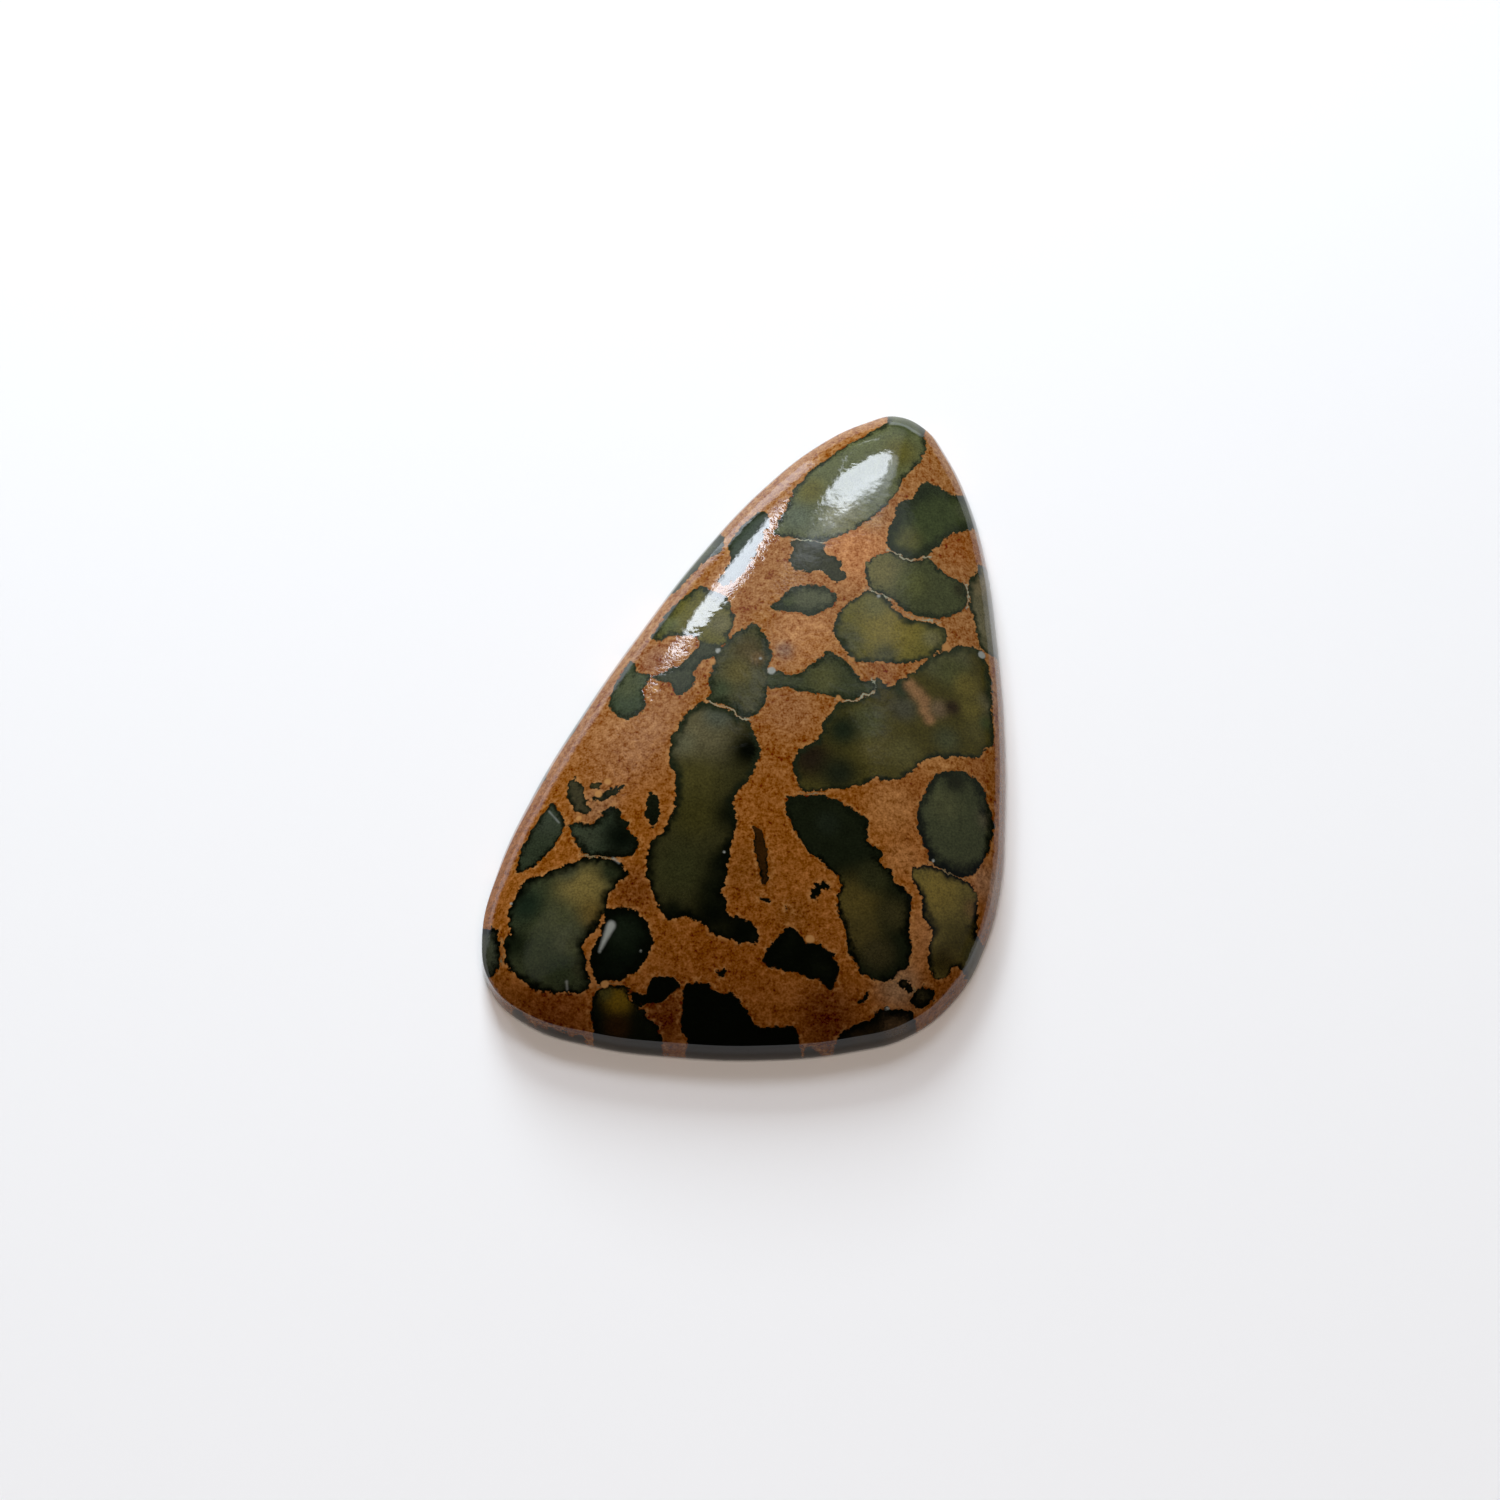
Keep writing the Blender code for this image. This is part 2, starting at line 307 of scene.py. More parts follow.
PEBBLES = {
    "tip oval": (0, """2.4,12.0 3.1,13.0 4.0,13.9 5.0,14.65 6.0,15.35 7.0,15.9 7.4,16.5 7.5,18.6 9.3,18.6
        9.2,16.9 9.3,16.0 9.35,15.2 9.35,14.5 9.1,13.9 8.75,13.35 8.3,12.8 7.9,12.2 7.7,11.6 7.2,11.0
        6.6,10.3 6.0,9.8 5.3,9.4 4.4,9.0 3.9,8.85 3.2,8.95 2.5,9.1 1.9,9.25 1.4,9.4 1.6,10.1 2.0,10.9
        2.25,11.5""", PALE_GREEN, 0.14, [
        (8.0, 14.2, 0.9, OLIVE), (5.0, 10.2, 1.2, (0.125, 0.118, 0.052)), (2.6, 10.4, 0.9, (0.072, 0.084, 0.050)),
        (8.4, 16.2, 0.8, GREEN), (3.3, 12.0, 0.8, OLIVE)]),
    "smudge": (1, """2.3,8.9 3.0,8.95 3.9,8.8 4.0,8.2 4.6,7.8 4.9,7.5 4.75,7.3 5.05,7.05 4.9,6.6
        4.5,6.5 4.2,6.85 3.6,7.1 3.0,7.1 2.4,7.3 2.2,7.9 2.4,8.4""", (0.031, 0.032, 0.016), 0.12, []),
    "upper right": (1, """8.8,11.9 9.05,12.4 9.6,12.5 10.05,12.3 10.6,12.05 11.1,12.1 11.8,12.9
        13.6,13.2 14.0,11.6 12.6,11.0 12.1,10.5 11.0,9.9 10.5,9.65 10.1,9.2 9.9,8.9 9.5,8.5 9.3,8.25
        8.9,8.05 8.4,7.95 8.0,8.05 7.7,8.25 7.35,8.4 7.2,8.8 7.25,9.5 7.45,10.1 7.65,10.7 7.95,11.15
        8.6,11.5""", (0.034, 0.044, 0.015), 0.34, [
        (8.2, 9.0, 0.8, (0.070, 0.068, 0.020)), (9.0, 11.9, 0.7, (0.015, 0.020, 0.008)),
        (11.4, 11.2, 0.6, GREY_GREEN)]),
    "streak chip": (1, """0.9,11.0 0.3,10.75 -0.3,10.15 -0.8,9.5 -1.0,8.9 -0.85,8.3 -1.0,7.7 -1.4,7.0
        -1.15,6.6 -0.6,6.9 -0.1,7.4 0.3,8.1 0.7,9.0 1.0,9.8 1.15,10.4""", (0.030, 0.040, 0.024), 0.20, []),
    "edge chip": (1, """-1.3,8.9 -1.9,8.5 -2.6,8.0 -3.3,7.1 -4.0,6.6 -4.6,6.9 -4.4,8.0 -3.2,9.6
        -1.9,10.4 -1.2,9.8""", GREY_GREEN, 0.35, []),
    "upper lens": (0, """1.15,5.05 1.6,5.55 2.05,6.05 2.6,6.3 3.3,6.4 4.0,6.25 4.45,5.9 4.6,5.5
        4.4,5.15 4.0,4.9 3.6,4.65 3.0,4.65 2.4,4.8 1.8,4.95""", (0.066, 0.070, 0.036), 0.26, [
        (2.0, 5.3, 0.5, GREEN)]),
    "wide green": (0, """6.1,6.15 6.15,6.6 5.95,7.1 6.1,7.6 6.45,7.95 6.9,8.2 7.35,8.3 7.7,8.15
        8.0,7.95 8.4,7.85 8.9,7.95 9.3,8.1 9.65,7.7 10.0,7.4 10.5,7.15 11.0,7.0 11.25,6.7 11.3,6.1
        11.2,5.6 10.9,5.3 10.5,5.05 9.95,4.75 9.3,4.72 8.65,4.8 8.2,5.0 7.8,5.25 7.4,5.55 7.0,5.75
        6.6,6.0""", (0.044, 0.049, 0.019), 0.14, [
        (6.9, 7.2, 1.1, (0.120, 0.105, 0.036)), (8.4, 6.6, 0.8, (0.070, 0.074, 0.024)),
        (10.4, 6.0, 0.7, (0.046, 0.052, 0.020)), (10.9, 6.5, 0.4, (0.022, 0.022, 0.009))]),
    "boomerang": (1, """6.3,6.0 5.95,5.95 5.6,5.65 5.1,5.25 4.7,4.7 4.4,4.15 4.4,3.5 4.65,3.05
        5.0,2.6 5.2,2.3 5.45,2.1 6.0,2.1 6.6,2.15 7.3,2.15 7.95,2.15 8.6,2.3 9.1,2.5 9.6,2.9 9.95,3.2
        10.2,3.7 10.05,4.15 9.75,4.45 9.3,4.5 8.65,4.55 8.0,4.7 7.65,4.95 7.35,5.25 7.05,5.65
        6.65,5.9""", OLIVE, 0.20, [
        (7.3, 3.9, 1.7, (0.140, 0.110, 0.022)), (5.1, 3.2, 0.8, (0.066, 0.066, 0.030)),
        (6.5, 5.3, 0.7, (0.105, 0.098, 0.034)), (7.0, 2.5, 0.7, (0.052, 0.050, 0.018)),
        (9.4, 3.6, 0.5, (0.120, 0.110, 0.045))]),
    "right strip": (1, """12.0,8.3 11.8,7.75 11.3,7.2 11.35,6.8 11.42,6.1 11.4,5.65 11.5,5.3 11.7,4.7
        11.8,4.0 11.95,3.4 12.6,3.3 15.0,3.6 15.0,8.6""", (0.085, 0.078, 0.040), 0.15, [
        (12.0, 7.2, 0.8, (0.150, 0.120, 0.060)), (12.2, 5.0, 0.9, (0.125, 0.112, 0.060))]),
    "streak pebble": (0, """-2.4,6.8 -3.0,6.4 -3.6,6.0 -4.1,5.4 -4.5,4.8 -4.75,4.2 -4.75,3.85
        -4.3,3.75 -3.8,3.95 -3.4,3.9 -2.9,3.85 -2.5,3.65 -2.3,3.3 -1.6,3.0 -1.0,3.2 -0.8,3.8 -0.65,4.4
        -0.65,4.9 -0.85,5.4 -1.05,5.9 -1.9,6.5""", OLIVE, 0.20, [
        (-1.3, 4.4, 0.7, (0.098, 0.088, 0.038)), (-4.0, 4.6, 0.6, PALE_GREEN)]),
    "left mitten": (0, """-5.9,2.85 -5.6,2.5 -5.55,2.1 -5.1,1.9 -4.85,1.7 -5.0,1.3 -5.2,1.0 -5.1,0.5
        -5.05,0.1 -5.2,-0.3 -5.9,-0.6 -6.4,-0.5 -6.8,-0.1 -7.0,0.4 -6.85,1.0 -6.6,1.6 -6.3,2.3""",
        (0.036, 0.047, 0.024), 0.16, [(-6.0, 1.4, 0.8, GREY_GREEN)]),
    "link": (0, """-2.3,3.5 -2.6,2.95 -2.9,2.6 -3.2,2.25 -3.6,2.1 -3.95,1.95 -4.4,1.85 -4.9,1.7
        -4.4,1.3 -3.95,1.2 -3.85,1.05 -3.7,0.75 -3.45,0.5 -3.1,0.55 -2.6,1.0 -2.55,1.4 -2.65,1.6
        -2.4,2.1 -2.2,2.35 -1.7,2.45 -1.3,2.7 -1.3,3.3 -1.7,3.5""", (0.034, 0.038, 0.020), 0.15, []),
    "brown bean": (0, """0.3,4.3 0.0,4.05 -0.4,3.95 -0.8,3.6 -1.1,3.25 -1.5,2.85 -1.7,2.4 -1.75,1.8
        -1.9,1.2 -1.85,0.5 -1.9,0.1 -1.3,-0.1 -0.9,-0.25 -0.6,-0.5 -0.3,-0.9 0.0,-1.0 0.3,-0.85
        0.6,-0.6 0.9,-0.25 1.0,0.4 1.15,1.2 1.1,1.9 1.25,2.4 1.15,3.0 0.95,3.6 0.65,4.1""",
        (0.054, 0.052, 0.024), 0.20, [
        (0.1, 2.7, 0.8, (0.066, 0.052, 0.024)), (0.6, 2.3, 0.4, (0.100, 0.066, 0.030)),
        (-0.4, 1.6, 0.7, (0.086, 0.072, 0.026)), (-1.4, 0.6, 0.6, (0.040, 0.050, 0.024))]),
    "triangle": (0, """4.1,2.75 4.55,2.35 4.95,2.05 5.3,1.7 5.5,1.35 5.8,1.1 6.3,1.1 6.5,0.65 6.0,0.37
        5.5,0.12 5.0,0.07 4.5,0.15 3.9,0.25 3.2,0.35 2.5,0.5 1.9,0.7 1.2,0.55 0.95,0.9 1.0,1.5 1.3,1.75
        1.9,1.4 2.5,1.4 3.0,1.7 3.4,2.0 3.8,2.5""", (0.036, 0.041, 0.019), 0.14, [
        (3.8, 1.2, 0.8, (0.064, 0.064, 0.024))]),
    "great pebble": (1, """6.35,1.05 6.6,1.2 6.9,0.95 7.2,0.87 7.6,1.1 8.0,1.35 8.4,1.65 8.7,1.95
        9.1,2.35 9.6,2.75 10.0,3.0 10.7,3.35 11.3,3.4 11.8,3.4 12.2,2.9 12.45,1.6 12.45,-0.2 12.4,-1.7
        12.1,-1.9 11.8,-2.3 11.6,-2.55 11.0,-2.66 10.6,-2.63 10.2,-2.72 9.9,-2.8 9.5,-2.82 9.2,-2.9
        8.9,-3.05 8.57,-3.27 8.32,-3.52 8.05,-3.75 7.75,-3.93 7.43,-4.12 7.05,-4.22 6.65,-4.25
        6.5,-4.0 6.3,-4.1 6.0,-4.28 5.8,-4.4 5.5,-4.53 5.0,-4.62 4.5,-4.7 4.0,-4.75 3.0,-4.85
        2.6,-4.7 2.5,-4.3 2.35,-3.8 2.35,-3.3 2.5,-2.8 2.9,-2.4 3.5,-2.2 3.7,-1.7 3.75,-1.2 4.0,-0.9
        4.3,-0.5 4.5,-0.12 5.0,-0.07 5.5,0.0 6.0,0.25 6.4,0.5""", DARK_OLIVE, 0.18, [
        (9.5, 2.3, 0.8, (0.060, 0.060, 0.026)), (10.7, 2.7, 0.7, (0.068, 0.066, 0.030)),
        (12.2, 0.2, 0.8, (0.078, 0.072, 0.040)),
        (6.5, -2.4, 1.0, (0.064, 0.054, 0.016)), (6.0, -1.1, 0.9, (0.056, 0.058, 0.024)),
        (3.2, -3.1, 1.2, (0.012, 0.008, 0.004)), (4.6, -3.9, 1.0, (0.009, 0.011, 0.005)),
        (4.8, -1.6, 0.9, (0.009, 0.013, 0.006)), (7.8, -2.6, 0.8, (0.066, 0.058, 0.017)),
        (10.4, 1.9, 0.9, (0.052, 0.054, 0.018)), (11.1, 1.2, 0.7, (0.092, 0.074, 0.016)),
        (11.4, 0.0, 0.7, (0.086, 0.070, 0.015)), (11.5, -1.2, 0.6, (0.060, 0.052, 0.014)),
        (10.0, -1.8, 0.7, (0.042, 0.044, 0.018)), (7.9, -0.3, 0.7, (0.046, 0.044, 0.026)),
        (7.8, 0.7, 0.5, DEEP_GREEN), (8.2, 0.95, 0.34, RUST), (8.55, 0.55, 0.38, RUST),
        (8.9, 0.15, 0.36, RUST), (8.95, -0.35, 0.34, RUST), (9.15, -0.8, 0.30, RUST),
        (9.65, -0.2, 0.50, (0.098, 0.066, 0.034)), (10.35, -0.05, 0.42, (0.020, 0.012, 0.005)),
        (12.1, -0.6, 0.4, GREEN)]),
    "peanut": (1, """-2.0,0.0 -2.5,-0.15 -2.9,-0.45 -3.25,-0.95 -3.6,-1.75 -3.8,-2.4 -3.85,-3.2
        -3.6,-3.8 -3.45,-4.05 -3.55,-4.5 -3.6,-5.4 -3.7,-6.1 -4.05,-6.65 -4.15,-6.95 -4.7,-7.5
        -4.9,-8.1 -4.95,-8.9 -4.75,-9.6 -4.5,-10.2 -4.35,-10.65 -4.1,-11.05 -3.95,-11.3 -3.5,-11.38
        -3.05,-11.22 -2.7,-11.35 -2.2,-11.57 -1.95,-11.77 -1.68,-12.02 -1.3,-12.17 -1.0,-12.25
        -0.63,-12.37 -0.4,-12.52 0.0,-12.5 0.3,-12.55 0.55,-12.45 0.65,-12.2 0.55,-11.9 0.35,-11.65
        0.12,-11.45 -0.2,-11.4 -0.4,-11.2 -0.75,-11.17 -1.0,-10.95 -1.0,-10.57 -1.15,-10.2 -1.25,-10.0
        -1.05,-9.7 -1.0,-9.3 -0.9,-8.5 -0.75,-7.7 -0.6,-7.0 -0.45,-6.3 -0.6,-5.4 -0.45,-4.9 0.1,-4.2
        0.55,-3.3 0.65,-2.5 0.4,-1.9 0.2,-1.35 0.0,-1.08 -0.35,-1.0 -0.65,-0.6 -1.0,-0.38 -1.4,-0.22""",
        (0.022, 0.020, 0.006), 0.22, [
        (-2.3, -1.7, 1.7, (0.082, 0.071, 0.034)), (-1.4, -0.7, 0.8, (0.055, 0.060, 0.040)),
        (-3.2, -2.2, 0.7, (0.076, 0.072, 0.038)), (-2.6, -4.3, 1.4, (0.042, 0.036, 0.009)),
        (-2.6, -6.0, 1.2, (0.030, 0.026, 0.0055)), (-3.2, -8.8, 1.3, (0.022, 0.022, 0.0065)),
        (0.1, -2.7, 0.9, BLACK_SKIN), (-0.7, -6.0, 0.9, NEAR_BLACK), (-1.6, -11.0, 1.2, BLACK_SKIN),
        (-0.2, -11.9, 1.0, BLACK_SKIN), (-1.2, -8.6, 0.9, NEAR_BLACK), (-3.6, -10.9, 0.6, NEAR_BLACK),
        (-1.5, -9.8, 0.9, NEAR_BLACK)]),
    "long bean": (0, """2.05,-5.2 2.75,-5.05 3.6,-5.07 4.0,-5.13 4.3,-5.25 4.62,-5.35 4.82,-5.55
        5.2,-5.72 5.5,-5.92 5.75,-6.15 5.97,-6.33 5.97,-6.87 6.0,-7.4 6.3,-7.6 6.65,-7.8 6.72,-8.05
        6.5,-8.33 6.85,-8.6 7.12,-8.75 7.15,-9.1 7.27,-9.4 7.58,-9.6 7.95,-9.88 8.1,-10.15 8.03,-10.7
        7.93,-11.2 7.9,-11.8 8.08,-12.35 8.07,-12.8 7.98,-13.25 7.75,-13.6 7.4,-13.78 7.2,-14.05
        6.88,-14.22 6.57,-14.27 6.2,-14.2 5.82,-14.0 5.5,-13.85 5.35,-13.5 5.2,-13.2 5.0,-12.93
        4.95,-12.55 4.88,-12.2 4.77,-11.9 4.75,-11.55 4.53,-11.2 4.43,-10.75 4.4,-10.25 4.5,-10.0
        4.55,-9.55 4.4,-9.2 4.07,-8.85 3.7,-8.45 3.15,-8.1 2.65,-7.45 2.2,-6.7 1.92,-5.9""",
        (0.0058, 0.0076, 0.0030), 0.16, [
        (5.3, -10.5, 1.3, (0.056, 0.041, 0.009)), (5.6, -12.0, 1.0, (0.046, 0.035, 0.009)),
        (7.2, -11.0, 0.8, (0.026, 0.022, 0.007)), (6.2, -9.2, 0.8, (0.018, 0.018, 0.006)),
        (4.0, -6.5, 0.6, (0.009, 0.012, 0.006)), (6.4, -12.9, 0.8, (0.028, 0.023, 0.008))]),
    "right oval": (0, """9.7,-3.58 10.2,-3.37 10.5,-3.35 10.8,-3.4 11.2,-3.52 11.55,-3.85 11.8,-4.15
        12.0,-4.5 12.15,-5.1 12.3,-5.6 12.3,-6.3 12.15,-7.1 11.95,-7.6 11.75,-7.95 11.5,-8.35
        11.1,-8.75 10.5,-8.9 9.9,-8.75 9.5,-8.5 9.0,-8.2 8.98,-7.95 8.8,-7.65 8.63,-7.25 8.5,-6.85
        8.42,-6.4 8.43,-5.87 8.5,-5.4 8.68,-4.98 8.9,-4.5 9.08,-4.08 9.33,-3.8""", (0.034, 0.038, 0.016), 0.30, [
        (9.8, -5.2, 0.9, (0.048, 0.050, 0.020)), (10.4, -4.0, 0.6, (0.011, 0.012, 0.005)),
        (10.6, -8.5, 0.5, (0.026, 0.028, 0.012)), (12.1, -5.7, 0.6, (0.060, 0.052, 0.028))]),
    "right kidney": (1, """8.45,-8.5 8.2,-8.72 8.12,-9.1 8.2,-9.4 8.45,-9.75 8.55,-10.15 8.55,-10.6
        8.62,-11.0 8.75,-11.3 9.0,-11.65 8.9,-12.05 8.87,-12.55 8.9,-13.05 8.95,-13.5 9.15,-13.85
        9.45,-13.95 9.8,-13.75 10.1,-13.35 10.5,-13.3 11.4,-13.9 12.6,-13.4 13.2,-12.2 12.3,-11.9
        11.35,-11.6 11.35,-10.9 11.4,-10.45 11.4,-10.0 11.2,-9.55 10.95,-9.2 10.5,-8.95 10.0,-8.8
        9.5,-8.6 9.0,-8.45""", (0.080, 0.062, 0.015), 0.20, [
        (9.3, -9.7, 1.2, (0.118, 0.084, 0.016)), (10.3, -11.9, 0.9, (0.048, 0.038, 0.008)),
        (9.6, -13.1, 0.8, (0.026, 0.019, 0.004)), (11.6, -12.8, 0.9, DEEP_GREEN), (11.2, -10.4, 0.5, (0.095, 0.056, 0.018))]),
    "corner pebble": (1, """-10.85,-9.05 -10.4,-8.88 -10.1,-8.8 -9.6,-8.63 -9.2,-8.5 -8.55,-8.23
        -8.05,-8.13 -7.6,-8.08 -7.1,-8.18 -6.57,-8.27 -6.1,-8.5 -5.95,-8.8 -5.8,-9.0 -6.0,-9.3
        -6.3,-9.45 -6.55,-9.8 -6.75,-10.1 -6.85,-10.6 -6.8,-11.0 -7.0,-11.1 -7.15,-11.4 -7.4,-11.9
        -7.75,-12.25 -8.0,-12.6 -7.9,-12.95 -7.78,-13.4 -7.65,-13.9 -7.5,-14.25 -7.55,-14.45 -7.65,-14.6
        -7.87,-14.72 -8.25,-14.8 -8.55,-14.82 -9.0,-14.75 -9.4,-14.75 -9.75,-14.63 -10.15,-14.63
        -10.4,-14.5 -10.7,-14.37 -11.0,-14.12 -11.4,-13.8 -11.6,-13.6 -11.82,-13.25 -11.87,-12.9
        -11.83,-12.4 -11.85,-12.0 -11.55,-11.8 -11.62,-11.3 -11.7,-11.0 -11.8,-10.75 -11.72,-10.5
        -11.55,-10.2 -11.43,-9.92 -11.3,-9.55 -11.1,-9.3""", (0.026, 0.031, 0.013), 0.20, [
        (-8.0, -9.8, 1.3, (0.128, 0.093, 0.025)), (-7.6, -11.0, 0.8, (0.085, 0.056, 0.013)),
        (-9.3, -11.3, 1.2, (0.043, 0.045, 0.017)), (-10.8, -10.4, 1.0, (0.008, 0.014, 0.007)),
        (-9.9, -12.8, 1.1, (0.028, 0.033, 0.014)), (-8.5, -12.4, 0.9, (0.044, 0.046, 0.021)),
        (-9.0, -13.7, 0.8, (0.020, 0.026, 0.011)), (-8.0, -13.6, 0.5, (0.026, 0.027, 0.012)),
        (-11.4, -12.3, 0.8, (0.0050, 0.0072, 0.0028)), (-6.6, -8.9, 0.6, (0.012, 0.015, 0.006)),
        (-8.8, -8.7, 0.6, (0.044, 0.044, 0.020))]),
    "round eye": (1, """-6.95,-10.6 -6.65,-10.77 -6.27,-10.68 -5.9,-10.7 -5.45,-10.83 -5.15,-11.1
        -4.87,-11.4 -4.7,-11.8 -4.55,-12.2 -4.57,-12.55 -4.72,-12.97 -5.0,-13.45 -5.3,-13.8
        -5.7,-14.03 -6.1,-14.22 -6.6,-14.2 -6.9,-14.33 -7.3,-14.35 -7.5,-13.9 -7.65,-13.4 -7.6,-12.8
        -7.45,-12.5 -7.2,-12.1 -7.05,-11.7 -6.95,-11.3 -6.95,-10.9""", (0.0022, 0.0036, 0.0016), 0.30, [
        (-6.1, -11.9, 0.9, (0.0055, 0.0085, 0.0040))]),
    "left rim": (0, """-12.35,-11.4 -12.15,-11.95 -12.05,-12.45 -12.08,-12.95 -12.12,-13.3
        -12.3,-13.6 -12.7,-13.8 -15.0,-14.2 -15.0,-11.2 -12.8,-11.3""", (0.032, 0.036, 0.020), 0.20, []),
    "left dart": (0, """-9.8,-4.95 -9.5,-5.1 -9.25,-5.6 -9.0,-6.3 -9.3,-7.0 -9.8,-7.65 -10.5,-8.3
        -11.1,-8.6 -11.45,-8.4 -11.3,-7.8 -11.0,-7.0 -10.6,-6.2 -10.2,-5.5""", (0.017, 0.022, 0.011), 0.12, [
        (-9.7, -5.9, 0.8, (0.028, 0.034, 0.020))]),
    "left star": (0, """-6.6,-5.45 -6.3,-5.7 -6.2,-6.05 -5.85,-6.35 -5.75,-6.8 -5.3,-7.3 -5.35,-7.75
        -5.85,-8.2 -6.4,-8.2 -7.1,-8.1 -8.0,-7.95 -8.3,-7.45 -8.6,-6.95 -8.85,-6.2 -8.3,-6.2 -7.8,-6.3
        -7.3,-6.05 -7.0,-5.65""", (0.026, 0.034, 0.018), 0.25, [
        (-6.1, -7.1, 1.3, (0.0018, 0.0030, 0.0014)), (-7.9, -7.0, 0.7, (0.027, 0.032, 0.017))]),
    "left seed": (1, """-8.55,-3.6 -8.3,-4.0 -8.1,-4.6 -7.9,-5.2 -7.7,-5.6 -8.1,-5.75 -8.5,-5.6
        -8.8,-5.1 -8.9,-4.5 -8.9,-4.0 -8.75,-3.75""", (0.032, 0.028, 0.013), 0.12, []),
    "left flake": (1, """-6.1,-4.35 -6.3,-4.65 -6.6,-4.9 -7.0,-5.1 -7.4,-5.15 -7.8,-4.95 -7.4,-4.8
        -7.0,-4.6 -6.5,-4.4""", (0.028, 0.024, 0.009), 0.10, []),
    "left bit": (1, "-7.2,-4.2 -7.35,-4.0 -7.7,-4.2 -7.65,-4.45 -7.35,-4.45", (0.028, 0.024, 0.009), 0.10, []),
    "thin chip": (1, """-4.75,-4.8 -4.4,-4.95 -4.3,-5.5 -4.3,-6.0 -4.5,-6.6 -4.65,-6.6 -5.0,-6.0
        -4.95,-5.4 -4.85,-5.0""", NEAR_BLACK, 0.30, []),
    "brown sliver": (0, """0.35,-6.65 0.75,-6.9 0.95,-7.5 1.07,-8.4 1.08,-9.0 0.97,-9.8 0.7,-9.4
        0.5,-8.3 0.35,-7.4""", (0.020, 0.0075, 0.0012), 0.06, []),
    "hooked chip": (1, """4.1,-9.55 4.1,-9.85 3.72,-9.9 3.5,-10.1 3.4,-10.45 3.15,-10.35 3.12,-9.9
        3.35,-9.6 3.75,-9.42""", NEAR_BLACK, 0.30, []),
    "speck": (0, "0.62,-10.25 0.95,-10.28 1.25,-10.4 0.95,-10.52 0.7,-10.45", BROWN, 0.40, []),
    "small speck": (0, "1.95,-10.7 2.2,-10.75 2.2,-10.95 1.95,-10.95", BROWN, 0.40, []),
    "low speck": (0, "-1.4,-13.8 -1.05,-13.75 -0.95,-13.95 -1.2,-14.1 -1.4,-14.0", BROWN, 0.50, []),
    "black flag": (0, """1.85,-11.75 2.22,-11.75 2.55,-11.92 2.73,-12.2 3.0,-12.47 3.45,-12.53
        3.85,-12.78 4.2,-13.0 4.45,-13.4 4.5,-13.82 4.43,-14.17 4.3,-14.53 4.1,-14.72 3.7,-14.55
        3.45,-14.3 3.1,-14.17 2.7,-14.03 2.4,-13.9 1.95,-13.87 1.7,-13.7 1.27,-13.6 0.97,-13.6
        0.73,-13.35 0.9,-13.1 1.03,-12.73 1.35,-12.5 1.53,-12.12""", NEAR_BLACK, 0.40, [
        (2.6, -13.1, 0.9, BLACK_SKIN)]),
    "low ember": (0, """-7.0,-14.5 -6.3,-14.42 -5.9,-14.55 -5.7,-14.9 -5.45,-15.3 -5.2,-15.55
        -4.97,-15.57 -4.9,-15.85 -4.7,-16.05 -4.4,-16.2 -4.2,-16.4 -4.2,-18.6 -7.6,-18.6 -7.45,-16.7
        -7.55,-16.1 -7.6,-15.7 -7.55,-15.3 -7.5,-15.0 -7.25,-14.7""", NEAR_BLACK, 0.15, [
        (-6.25, -15.2, 0.65, MUSTARD), (-6.9, -14.8, 0.4, DARK_OLIVE), (-6.3, -16.3, 0.6, (0.020, 0.009, 0.002))]),
    "low bird": (0, """-4.47,-14.15 -4.0,-14.13 -3.65,-14.1 -3.4,-14.3 -3.2,-14.6 -3.4,-14.75
        -3.67,-14.87 -3.9,-15.05 -4.15,-15.2 -4.53,-15.35 -4.9,-15.38 -5.2,-15.4 -5.5,-15.25
        -5.65,-14.95 -5.8,-14.8 -5.65,-14.65 -5.4,-14.75 -5.15,-14.95 -4.9,-14.85 -4.8,-14.55
        -4.6,-14.3""", BLACK_SKIN, 0.40, []),
    "low black": (0, """-2.8,-14.4 -2.43,-14.35 -2.07,-14.35 -1.8,-14.5 -1.55,-14.78 -1.25,-14.87
        -0.75,-14.77 -0.5,-15.05 -0.25,-15.35 0.0,-15.55 0.17,-15.83 0.3,-16.1 0.53,-16.35 1.02,-16.4
        1.6,-16.3 2.2,-16.3 2.5,-16.5 2.5,-18.8 -2.7,-18.8 -2.9,-16.9 -3.15,-16.6 -3.2,-16.3
        -3.17,-15.9 -3.17,-15.4 -3.1,-14.95 -3.0,-14.6""", BLACK_SKIN, 0.40, []),
    "low brown": (0, """4.8,-16.45 5.4,-16.2 6.1,-15.95 6.3,-15.65 6.6,-15.45 7.1,-15.52 7.6,-15.47
        8.0,-15.5 8.2,-15.8 8.35,-16.2 8.3,-18.4 4.2,-18.6 4.3,-17.0""", NEAR_BLACK, 0.30, [
        (7.3, -15.9, 0.8, (0.072, 0.043, 0.020)), (5.6, -16.4, 0.6, (0.024, 0.014, 0.005))]),
    "corner chip": (0, """8.95,-14.35 8.45,-14.42 8.15,-14.68 8.0,-15.0 8.05,-15.2 8.4,-15.3
        8.7,-15.33 9.0,-15.05 9.2,-14.6""", NEAR_BLACK, 0.20, [(8.6, -14.9, 0.4, (0.022, 0.018, 0.007))]),
    "corner crumb": (1, """7.45,-14.1 7.75,-14.15 8.0,-14.3 8.1,-14.55 7.9,-14.65 7.6,-14.5
        7.4,-14.35""", (0.026, 0.018, 0.007), 0.20, []),
